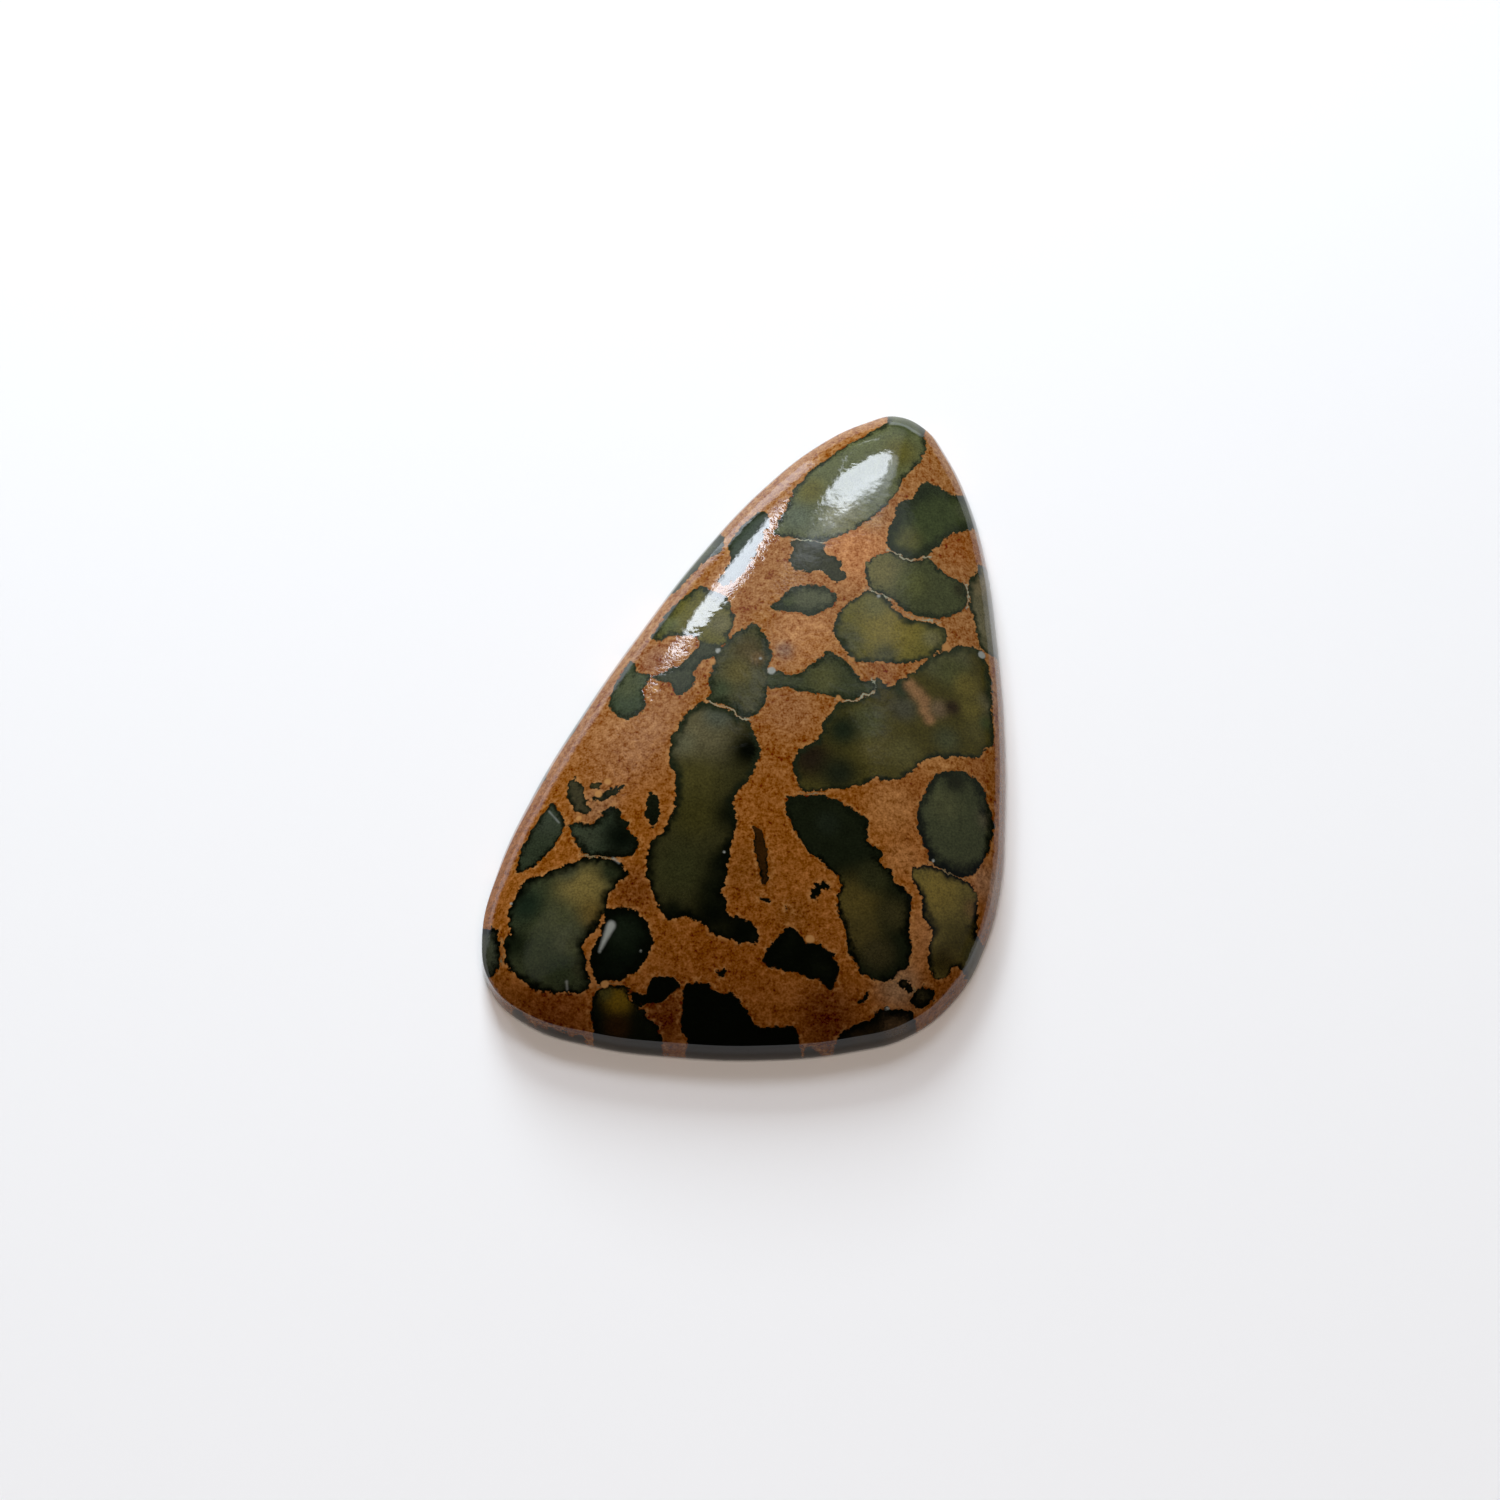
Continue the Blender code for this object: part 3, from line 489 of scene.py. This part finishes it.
    "corner thread": (0, """5.95,-14.8 5.82,-15.05 5.65,-15.2 5.4,-15.35 5.33,-15.25 5.55,-15.1
        5.7,-14.95 5.85,-14.75""", NEAR_BLACK, 0.20, []),
    # rim shadow is painted shade, not a pebble: a near-black band laid along the lower left side, where that side lies
    # in shade
    "rim shadow": (0, """-11.4,-15.2 -10.6,-15.85 -9.6,-16.15 -8.6,-16.5 -7.9,-16.7 -8.2,-18.4
        -12.4,-17.4""", NEAR_BLACK, 0.30, []),
    "rim crumb": (0, "2.8,-17.2 3.4,-17.15 3.7,-17.4 3.6,-18.4 2.8,-18.4", NEAR_BLACK, 0.20, []),
}


# The ground is salmon-brown near the tip and along the sides, and a deeper orange lower down.
ORANGE_GROUND = (0.190, 0.060, 0.0075)
SALMON_GROUND = (0.245, 0.100, 0.027)
GROUND_TURN = (-5.0, 4.0)
SALMON = (0.385, 0.155, 0.048)
PINK_BROWN = (0.235, 0.096, 0.031)
DEEP_ORANGE = (0.130, 0.039, 0.0055)
DARK_ORANGE = (0.095, 0.024, 0.0012)
GROUND_PATCHES = [
    (5.6, 8.4, 2.0, SALMON), (3.0, 3.6, 1.7, (0.330, 0.142, 0.045)), (6.5, 10.3, 0.9, (0.268, 0.130, 0.045)),
    (2.2, -0.6, 1.2, PINK_BROWN), (-4.7, 2.7, 1.0, (0.210, 0.088, 0.038)), (-6.0, -1.8, 2.6, PINK_BROWN),
    (-7.4, -5.4, 1.1, (0.190, 0.082, 0.030)), (9.8, -3.0, 1.3, (0.262, 0.107, 0.026)),
    (7.2, -5.6, 1.4, (0.252, 0.100, 0.025)), (7.6, -8.2, 0.9, (0.275, 0.110, 0.030)),
    (8.35, -12.2, 1.5, (0.220, 0.086, 0.023)), (7.4, -14.4, 1.1, (0.215, 0.118, 0.056)),
    (-5.5, -9.8, 1.3, DEEP_ORANGE), (2.2, -11.2, 0.9, (0.156, 0.051, 0.0065)), (0.0, -9.0, 1.5, (0.152, 0.048, 0.0055)),
    (2.2, 6.9, 0.8, (0.275, 0.125, 0.038)),
    (-3.9, -15.7, 1.4, DARK_ORANGE), (3.9, -15.8, 1.5, DARK_ORANGE), (-9.3, -15.4, 1.8, (0.130, 0.034, 0.003)),
    (-0.8, -12.9, 2.6, (0.160, 0.045, 0.0025)), (11.1, 9.0, 1.2, (0.225, 0.072, 0.012)),
    (12.1, -9.0, 1.0, (0.240, 0.115, 0.050)), (1.9, 2.7, 0.5, (0.180, 0.090, 0.050)),
]


def rounded_line(points, steps=4, tension=0.4):
    """A closed smooth curve through the points of a line, some steps to each stretch."""
    before, after, beyond = (np.roll(points, shift, 0) for shift in (1, -1, -2))
    leave, arrive = tension * (after - before), tension * (beyond - points)
    parts = []
    for k in range(steps):
        t = k / steps
        parts.append((2 * t**3 - 3 * t**2 + 1) * points + (t**3 - 2 * t**2 + t) * leave
                     + (3 * t**2 - 2 * t**3) * after + (t**3 - t**2) * arrive)
    return np.stack(parts, 1).reshape(-1, 2)


def depth_within(places, line):
    """How far within a closed line each place lies, in millimetres; below nought outside it."""
    gap = np.full(len(places), np.inf)
    within = np.zeros(len(places), bool)
    for start, end in zip(line, np.roll(line, -1, 0)):
        along = end - start
        away = places - start
        part = np.clip(away @ along / (along @ along), 0.0, 1.0)
        gap = np.minimum(gap, ((away - part[:, None] * along) ** 2).sum(1))
        passes = (start[1] > places[:, 1]) != (end[1] > places[:, 1])
        crossing = away[:, 0] * along[1] - away[:, 1] * along[0]
        within ^= passes & ((crossing < 0) == (along[1] > 0))
    return np.where(within, 1.0, -1.0) * np.sqrt(gap)


FAR_OUT = -3.0
SIDE_COVER = 1.45
PEBBLE_SEED = 11
DRIFT = 0.45
GROWTH = (-0.45, 0.10)
BURIED = 34
BURIED_TRIES = 4000


def lay_pebbles(stone):
    """Write onto each point of the stone how deep it lies in the nearest pebble of each layer."""
    mesh = stone.data
    count = len(mesh.vertices)
    place = np.zeros(count * 3)
    mesh.vertices.foreach_get("co", place)
    place = place.reshape(-1, 3) / MM
    cover = np.zeros(count)
    mesh.attributes["cover"].data.foreach_get("value", cover)
    # the back is cut through the same pebbles further down, where they have drifted and changed
    below = np.maximum(cover / MM - SIDE_COVER, 0.0)
    rng = np.random.default_rng(PEBBLE_SEED)
    layers = np.full((3, count), FAR_OUT)
    deepest = np.full(count, -np.inf)
    heart = np.zeros((count, 4))
    skin = np.full(count, 0.3)

    def patched(tint, points, patches):
        """These colours with soft round patches of other colours over them."""
        for x, y, reach, patch in patches:
            off = ((points[:, 0] - x) ** 2 + (points[:, 1] - y) ** 2) / reach**2
            tint += (np.array(patch) - tint) * np.exp(-(off**1.5))[:, None]
        return tint

    def take(near, depth, colour, width, patches):
        """Give the points that this pebble is nearest to its heart colour and skin width."""
        nearest = near[depth > deepest[near]]
        deepest[near] = np.maximum(deepest[near], depth)
        tint = np.tile(np.array(colour), (len(nearest), 1))
        heart[nearest, :3] = patched(tint, place[nearest], patches)
        heart[nearest, 3] = 1.0
        skin[nearest] = width

    for layer, outline, colour, width, patches in PEBBLES.values():
        line = np.array([[float(v) for v in pair.split(",")] for pair in outline.split()])
        line = rounded_line(line)
        drift = rng.uniform(-DRIFT, DRIFT, 2)
        growth = rng.uniform(*GROWTH)
        seen = place[:, :2] - drift * below[:, None]
        low, high = line.min(0) + FAR_OUT, line.max(0) - FAR_OUT
        near = np.nonzero(((seen > low) & (seen < high)).all(1))[0]
        depth = depth_within(seen[near], line) + growth * below[near]
        layers[layer, near] = np.maximum(layers[layer, near], depth)
        take(near, depth, colour, width, patches)

    # pebbles that never reach the dome: they show only on the back, and some on the side
    known = layers[:2].max(0).copy()
    tints = [GREEN, GREY_GREEN, DEEP_GREEN, OLIVE, DARK_OLIVE, BROWN_OLIVE, NEAR_BLACK]
    laid = 0
    for _ in range(BURIED_TRIES):
        if laid == BURIED:
            break
        spot = rng.integers(count)
        reach = rng.uniform(0.5, 2.3, 2)
        thick = rng.uniform(0.5, 1.1)
        middle = place[spot].copy()
        if middle[2] > 1.0 or known[spot] > -0.35 * reach.max() or deepest[spot] > -0.3 * reach.max():
            continue
        if cover[spot] / MM < 2.2 and (middle[1] < -13.5 or middle[0] > 9.0):
            continue
        middle[2] = rng.uniform(0.0, 0.5)
        turn = rng.uniform(0.0, math.pi)
        off = place - middle
        east = off[:, 0] * math.cos(turn) + off[:, 1] * math.sin(turn)
        north = off[:, 1] * math.cos(turn) - off[:, 0] * math.sin(turn)
        angle = np.arctan2(north, east)
        lumps = 1 + 0.13 * np.sin(2 * angle + rng.uniform(0, 6)) + 0.10 * np.sin(3 * angle + rng.uniform(0, 6))
        lumps += 0.06 * np.sin(5 * angle + rng.uniform(0, 6))
        size = np.sqrt((east / reach[0]) ** 2 + (north / reach[1]) ** 2 + (off[:, 2] / thick) ** 2)
        depth = (1.0 - size / lumps) * reach.min()
        near = np.nonzero(depth > FAR_OUT)[0]
        layers[2, near] = np.maximum(layers[2, near], depth[near])
        take(near, depth[near], tints[rng.integers(len(tints))], rng.uniform(0.25, 0.5), [])
        laid += 1

    north = np.clip((place[:, 1] - GROUND_TURN[0]) / (GROUND_TURN[1] - GROUND_TURN[0]), 0.0, 1.0)[:, None]
    ground = np.ones((count, 4))
    ground[:, :3] = np.array(ORANGE_GROUND) * (1 - north) + np.array(SALMON_GROUND) * north
    ground[:, :3] = patched(ground[:, :3], place, GROUND_PATCHES)
    for name, values in zip(("pebbles_a", "pebbles_b", "pebbles_c", "skin"), (*layers, skin)):
        mesh.attributes.new(name, "FLOAT", "POINT").data.foreach_set("value", values)
    for name, values in (("heart", heart), ("ground", ground)):
        mesh.attributes.new(name, "FLOAT_COLOR", "POINT").data.foreach_set("color", values.ravel())
    for spare in ("inside", "pull", "cover", "lift"):
        mesh.attributes.remove(mesh.attributes[spare])


# The polish
# The ground is sand-sized grains of orange-brown jasper, tan where it meets a pebble and pale
# along the hairlines where two pebbles touch. Everything is polished to the same glassy gloss,
# with faint wheel marks left in it.
GRAIN = 0.10
COARSE_GRAIN = 0.24
NORTH_TINT = (0.057, 0.083, 0.052, 1.0)
SOUTH_TINT = (0.062, 0.043, 0.024, 1.0)
TAN = (0.36, 0.175, 0.055, 1.0)
SOUTH_SKIN = (*BLACK_SKIN, 1.0)
NORTH_SKIN = (0.017, 0.022, 0.010, 1.0)
SOUTH_HAIRLINE = (0.14, 0.110, 0.055, 1.0)
NORTH_HAIRLINE = (0.25, 0.270, 0.190, 1.0)
NORTH_TURN = (-9.0, 3.0)
IOR = 1.54
ROUGHNESS = (0.04, 0.09)
# Small grains of quartz and of tan sand that the polish has cut: place and reach in millimetres. The quartz grey also
# paints one highlight, on the round eye.
QUARTZ_AND_PAINTED_GLINT = (0.27, 0.28, 0.25, 1.0)
QUARTZ_FLECKS = [
    (-1.45, 2.85, 0.13), (0.7, 2.3, 0.09), (1.25, 1.6, 0.18), (-1.1, -8.0, 0.05), (9.2, -8.2, 0.06),
    (-5.15, -12.85, 0.08), (6.85, -15.45, 0.10), (11.95, 3.1, 0.20), (-11.6, -10.2, 0.06), (6.7, 5.75, 0.08),
]
# The same quartz as slivers: both ends, and the reach at each. The first is a painted highlight, not quartz: the
# crescent glint on the round eye's polish, laid in as a pale grey sliver.
QUARTZ_SLIVERS_AND_GLINT = [
    (-6.60, -11.60, 0.24, -7.15, -12.85, 0.07), (-9.83, -5.40, 0.03, -9.30, -6.10, 0.03),
    (-6.57, -8.20, 0.04, -6.25, -8.45, 0.03), (-8.75, -14.25, 0.06, -8.72, -14.60, 0.04),
]
TAN_FLECKS = [
    (-1.7, 2.2, 0.15), (10.1, 3.2, 0.20), (4.6, 0.1, 0.14), (5.3, 2.2, 0.13), (-7.35, -4.7, 0.18),
    (-6.9, -4.1, 0.17), (-4.6, 0.9, 0.17), (-8.3, -5.95, 0.15), (3.1, -12.3, 0.20), (-6.87, -14.4, 0.17),
]


def polish(material):
    """The stone's material, built from the depths and colours that the pebbles left on it."""
    material.use_nodes = True
    tree = material.node_tree
    tree.nodes.clear()
    calc = math_in(tree)
    vec = vector_math_in(tree)
    place = vec("SCALE", add(tree, "ShaderNodeTexCoord").outputs["Object"], 1 / MM)

    def stored(name, output="Fac"):
        return add(tree, "ShaderNodeAttribute", attribute_name=name).outputs[output]

    def clouds(size, detail=1.0, shift=0.0):
        """Soft noise with lumps of about this many millimetres, centred on nought."""
        moved = vec("ADD", place, (shift, shift * 0.7, -shift))
        made = add(tree, "ShaderNodeTexNoise", {"Vector": moved, "Scale": 1 / size, "Detail": detail})
        return calc("SUBTRACT", made.outputs[0], 0.5)

    def summed(*parts):
        """Sum of products: each part is a socket and how much of it is added."""
        total = 0.0
        for socket, amount in parts:
            total = calc("ADD", total, calc("MULTIPLY", socket, amount))
        return total

    def step(value, low, high, from_value=0.0, to_value=1.0):
        return add(tree, "ShaderNodeMapRange", {
            "Value": value, "From Min": low, "From Max": high, "To Min": from_value,
            "To Max": to_value}, interpolation_type="SMOOTHSTEP").outputs[0]

    def mixed(share, first, second, blend_type="MIX"):
        return add(tree, "ShaderNodeMix", {0: share, 6: first, 7: second},
                   data_type="RGBA", blend_type=blend_type).outputs[2]

    def scaled(colour, amount):
        grey = add(tree, "ShaderNodeCombineColor", {0: amount, 1: amount, 2: amount}).outputs[0]
        return mixed(1.0, colour, grey, "MULTIPLY")

    # ragged line between pebble and ground, a grain or two deep
    grain = clouds(GRAIN, 1.0, 9.0)
    coarse = clouds(COARSE_GRAIN, 1.0, 17.0)
    lump = clouds(0.6, 1.0, 3.0)
    broad = clouds(2.2, 1.0, 31.0)
    ragged = summed((grain, 0.14), (coarse, 0.32), (clouds(0.5, 1.0, 5.0), 0.30), (broad, 0.16))
    first = calc("ADD", stored("pebbles_a"), ragged)
    second = calc("SUBTRACT", stored("pebbles_b"), ragged)
    third = calc("ADD", stored("pebbles_c"), calc("MULTIPLY", ragged, 1.6))
    depth = calc("MAXIMUM", calc("MAXIMUM", first, second), third)
    in_pebble = step(depth, -0.035, 0.035)
    along = add(tree, "ShaderNodeSeparateXYZ", {0: place}).outputs[1]
    north = step(along, *NORTH_TURN)

    # the ground: grains a little lighter and paler, or darker, than their neighbours
    speckle = summed((grain, 1.5), (coarse, 1.35), (lump, 0.7), (broad, 0.35))
    ground = scaled(stored("ground", "Color"), calc("ADD", 1.0, calc("MULTIPLY", speckle, 0.62)))
    ground = vec("ADD", ground, vec("SCALE", mixed(north, SOUTH_TINT, NORTH_TINT), speckle))
    ground = vec("MAXIMUM", ground, (0.002, 0.001, 0.0005))
    fringe = calc("MULTIPLY", step(depth, -0.26, -0.03), step(coarse, -0.10, 0.18))
    ground = mixed(calc("MULTIPLY", fringe, 0.45), ground, TAN)

    # the pebbles, from the dark skin to the heart
    mottle = clouds(0.55, 2.0, 21.0)
    skin = calc("MULTIPLY", stored("skin"), summed((broad, 2.6), (1.0, 1.0)))
    skin = calc("MAXIMUM", skin, 0.04)
    from_skin = calc("DIVIDE", calc("ADD", depth, calc("MULTIPLY", mottle, 0.4)), skin)
    fine = summed((grain, 1.3), (mottle, 0.6), (1.0, 1.0))
    heart = scaled(stored("heart", "Color"), fine)
    skin_colour = scaled(mixed(north, SOUTH_SKIN, NORTH_SKIN), fine)
    pebble = mixed(step(from_skin, 0.2, 2.4), skin_colour, heart)
    colour = mixed(in_pebble, ground, pebble)

    # pale hairlines where two pebbles touch
    apart = calc("ABSOLUTE", calc("SUBTRACT", first, second))
    touching = calc("MULTIPLY", step(apart, 0.04, 0.11, 1.0, 0.0),
                    step(calc("MINIMUM", first, second), -0.22, -0.10))
    shown = calc("MULTIPLY", touching, step(mottle, -0.14, 0.08, 0.15, 0.95))
    colour = mixed(shown, colour, mixed(north, SOUTH_HAIRLINE, NORTH_HAIRLINE))

    # flecks, each a grain with a ragged edge
    for flecks, tint in ((QUARTZ_FLECKS, QUARTZ_AND_PAINTED_GLINT), (TAN_FLECKS, TAN)):
        nearest = 9.0
        flat = vec("MULTIPLY", place, (1.0, 1.0, 0.0))
        for x, y, reach in flecks:
            away = calc("SUBTRACT", vec("DISTANCE", flat, (x, y, 0.0), output=1), reach)
            nearest = calc("MINIMUM", nearest, away)
        nearest = calc("ADD", nearest, calc("MULTIPLY", ragged, 0.4))
        above = step(add(tree, "ShaderNodeSeparateXYZ", {0: place}).outputs[2], 1.0, 1.4)
        colour = mixed(calc("MULTIPLY", above, step(nearest, -0.06, 0.06, 0.9, 0.0)), colour, tint)
    # quartz slivers, and the first of them a painted highlight: the crescent glint on the round eye
    nearest = 9.0
    for x, y, reach, end_x, end_y, end_reach in QUARTZ_SLIVERS_AND_GLINT:
        start = Vector((x, y, 0.0))
        along = Vector((end_x, end_y, 0.0)) - start
        away = vec("SUBTRACT", flat, tuple(start))
        part = calc("DIVIDE", vec("DOT_PRODUCT", away, tuple(along), output=1), along.length_squared)
        part = calc("MINIMUM", calc("MAXIMUM", part, 0.0), 1.0)
        gap = vec("LENGTH", vec("SUBTRACT", away, vec("SCALE", tuple(along), part)), output=1)
        wide = calc("ADD", reach, calc("MULTIPLY", part, end_reach - reach))
        nearest = calc("MINIMUM", nearest, calc("SUBTRACT", gap, wide))
    nearest = calc("ADD", nearest, calc("MULTIPLY", ragged, 0.15))
    colour = mixed(calc("MULTIPLY", above, step(nearest, -0.14, 0.08, 0.85, 0.0)), colour, QUARTZ_AND_PAINTED_GLINT)

    # polish: the ground's grains stand out of it by a hair, the pebbles are smoother
    rough = calc("ADD", step(coarse, -0.3, 0.3, *ROUGHNESS), calc("MULTIPLY", in_pebble, -0.015))
    relief = calc("MULTIPLY", summed((grain, 2.2), (coarse, 3.6)), step(in_pebble, 0.0, 1.0, 1.0, 0.3))
    relief = calc("ADD", relief, summed((clouds(0.9, 2.0, 41.0), 11.0), (clouds(0.35, 1.0, 47.0), 2.4)))
    bump = add(tree, "ShaderNodeBump", {"Strength": 1.0, "Distance": 0.0012 * MM, "Height": relief})
    shader = add(tree, "ShaderNodeBsdfPrincipled", {
        "Base Color": colour, "Roughness": rough, "IOR": IOR, "Normal": bump.outputs[0]})
    add(tree, "ShaderNodeOutputMaterial", {"Surface": shader.outputs[0]})


finish = bpy.data.materials.new("polished_jasper")
polish(finish)
stone = shaped_stone(finish)
lay_pebbles(stone)
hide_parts("cabochon")
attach(stone, "root")

# The table
# A plain pale sheet under the stone, nearly white, with the soft sheen of coated paper.
TABLE_SIZE = 2.0
TABLE_GAP = 0.01 * MM
bpy.ops.mesh.primitive_plane_add(size=TABLE_SIZE, location=(0.0, 0.0, -TABLE_GAP))
table = bpy.context.object
table.name = "table"
paper = bpy.data.materials.new("pale_paper")
paper.use_nodes = True
coated = paper.node_tree.nodes["Principled BSDF"]
coated.inputs["Base Color"].default_value = (0.905, 0.903, 0.90, 1.0)
coated.inputs["Roughness"].default_value = 0.40
coated.inputs["Specular IOR Level"].default_value = 0.5
table.data.materials.append(paper)

# The light
# A room with two window panes to the north and a dark side to the south, which the gloss
# mirrors, and two soft lamps which only brighten. Places in the room are degrees west of north
# and degrees above the table. Each bright shape has its corners in order, the softness of the
# side that starts at each, and its brightness.
ROOM = {
    "left pane": ([(35.2, 33.5), (34.6, 36.5), (33.0, 39.3), (28.3, 41.0), (26.8, 38.0), (26.2, 34.0),
                   (26.2, 27.0)], (1.2, 0.9, 0.9, 0.9, 0.9, 0.9, 3.0), 14.5),
    "left pane's edge": ([(27.0, 21.0), (27.0, 38.0), (26.2, 38.0), (26.2, 21.0)], (0.9, 0.9, 0.9, 4.0), 5.0),
    "right pane": ([(14.5, 36.3), (17.0, 42.0), (9.0, 50.0), (-9.0, 50.5), (-12.5, 46.0), (-11.5, 41.0)],
                   (2.5, 4.0, 4.0, 4.0, 4.0, 0.9), 12.5),
    "right pane's far side": ([(-10.0, 41.0), (-10.0, 50.0), (-20.0, 48.5), (-20.0, 42.0)],
                              (3.0, 5.0, 5.0, 3.0), 2.5),
    "glow over the panes": ([(19.0, 46.0), (14.0, 54.0), (-18.0, 55.0), (-18.0, 47.0)], (5.0, 5.0, 5.0, 5.0), 1.3),
    "frame between": ([(15.3, 27.0), (15.3, 37.0), (14.3, 37.0), (14.3, 27.0)], (0.8, 0.8, 0.8, 0.8), 4.0),
    "blind's edge": ([(11.5, 21.0), (5.0, 25.4), (5.0, 26.5), (11.0, 22.3)], (0.8, 0.8, 0.8, 0.8), 6.0),
    "wall by the panes": ([(38.0, 22.0), (36.0, 52.0), (-20.0, 52.0), (-20.0, 18.0)],
                          (8.0, 5.0, 8.0, 8.0), 0.50),
    "wall over the panes": ([(20.0, 48.0), (16.0, 63.0), (-38.0, 64.0), (-38.0, 48.0)],
                            (6.0, 5.0, 12.0, 5.0), 0.45),
    "east wall": ([(-22.0, 20.0), (-34.0, 66.0), (-100.0, 60.0), (-100.0, 20.0)], (10.0, 8.0, 20.0, 8.0), 0.08),
    "high west": ([(125.0, 57.0), (120.0, 74.0), (62.0, 72.0), (52.0, 57.0)], (14.0, 4.0, 14.0, 6.0), 0.12),
    "low north": ([(1.0, -6.0), (1.0, 11.0), (-32.0, 10.0), (-34.0, -6.0)], (5.0, 6.0, 9.0, 2.0), 2.0),
    "low pane": ([(34.0, -6.0), (33.0, 15.0), (22.0, 16.5), (22.0, -6.0)], (3.0, 2.5, 3.0, 2.0), 3.8),
    "low west": ([(76.0, -6.0), (70.0, 8.5), (33.0, 10.5), (33.0, -6.0)], (14.0, 5.0, 2.0, 2.0), 1.8),
}
ROOM_TINT = (0.91, 0.98, 1.09)
ROOM_SHADING = 0.5
ROOM_DARK = (0.004, 0.004, 0.004)
BACKDROP = (0.85, 0.85, 0.85, 1.0)


def light_room(world):
    """The room as the stone mirrors it, and a pale wall where the camera looks at it."""
    world.use_nodes = True
    tree = world.node_tree
    tree.nodes.clear()
    calc = math_in(tree)
    vec = vector_math_in(tree)
    direction = add(tree, "ShaderNodeTexCoord").outputs["Generated"]
    east, north, up = add(tree, "ShaderNodeSeparateXYZ", {0: direction}).outputs
    west = calc("DEGREES", calc("ARCTAN2", calc("MULTIPLY", east, -1.0), north))
    height = calc("DEGREES", calc("ARCSINE", up))
    light = ROOM_DARK
    for corners, softness, strength in ROOM.values():
        middle = sum((Vector(corner) for corner in corners), Vector((0.0, 0.0))) / len(corners)
        share = strength
        for start, end, soft in zip(corners, corners[1:] + corners[:1], softness):
            along = Vector(end) - Vector(start)
            inward = Vector((-along.y, along.x)).normalized()
            if inward.dot(middle - Vector(start)) < 0.0:
                inward = -inward
            depth = calc("ADD", calc("MULTIPLY", west, inward.x), calc("MULTIPLY", height, inward.y))
            depth = calc("SUBTRACT", depth, inward.dot(Vector(start)))
            within = add(tree, "ShaderNodeMapRange", {
                "Value": depth, "From Min": -soft / 2, "From Max": soft / 2},
                interpolation_type="SMOOTHSTEP").outputs[0]
            share = calc("MULTIPLY", within, share)
        light = vec("ADD", light, vec("SCALE", ROOM_TINT, share))
    # the lamps below do most of the brightening, so that the room's own share of it is kept down
    paths = add(tree, "ShaderNodeLightPath").outputs
    dimmed = calc("MULTIPLY", paths["Is Diffuse Ray"], 1.0 - ROOM_SHADING)
    light = vec("SCALE", light, calc("SUBTRACT", 1.0, dimmed))
    lit_room = add(tree, "ShaderNodeBackground", {"Color": light})
    wall = add(tree, "ShaderNodeBackground", {"Color": BACKDROP})
    both = add(tree, "ShaderNodeMixShader", {0: paths["Is Camera Ray"], 1: lit_room.outputs[0], 2: wall.outputs[0]})
    add(tree, "ShaderNodeOutputWorld", {"Surface": both.outputs[0]})


def soft_lamp(name, west, height, distance, width, power, colour):
    """A square soft lamp that looks at the stone and isn't mirrored in it."""
    west, height = math.radians(west), math.radians(height)
    data = bpy.data.lights.new(name, "AREA")
    data.shape = "SQUARE"
    data.size = width
    data.energy = power
    data.color = colour
    lamp = bpy.data.objects.new(name, data)
    out = Vector((-math.sin(west) * math.cos(height), math.cos(west) * math.cos(height), math.sin(height)))
    lamp.location = out * distance
    lamp.rotation_euler = out.to_track_quat("Z", "Y").to_euler()
    lamp.visible_glossy = False
    lamp.visible_camera = False
    bpy.context.scene.collection.objects.link(lamp)


room = bpy.data.worlds.new("room")
light_room(room)
bpy.context.scene.world = room
soft_lamp("low_key", 10.0, 22.0, 0.38, 0.13, 1.72, (0.89, 1.0, 1.09))
soft_lamp("high_fill", 180.0, 80.0, 0.36, 0.25, 0.55, (1.0, 0.84, 0.73))
bpy.context.scene.view_settings.view_transform = "Standard"

# The camera
# It looks down steeply from the stone's broad end, and a square frame of 76.5 mm lies in focus.
AIM = Vector((0.17, -1.3, 0.0)) * MM
ELEVATION = math.radians(70.0)
DISTANCE = 150.0 * MM
LENS = 70.6
camera = bpy.data.objects.new("camera", bpy.data.cameras.new("camera"))
bpy.context.scene.collection.objects.link(camera)
camera.location = AIM + Vector((0.0, -math.cos(ELEVATION), math.sin(ELEVATION))) * DISTANCE
camera.rotation_euler = (AIM - camera.location).to_track_quat("-Z", "Y").to_euler()
camera.data.lens = LENS
camera.data.clip_start = 0.01
bpy.context.scene.camera = camera
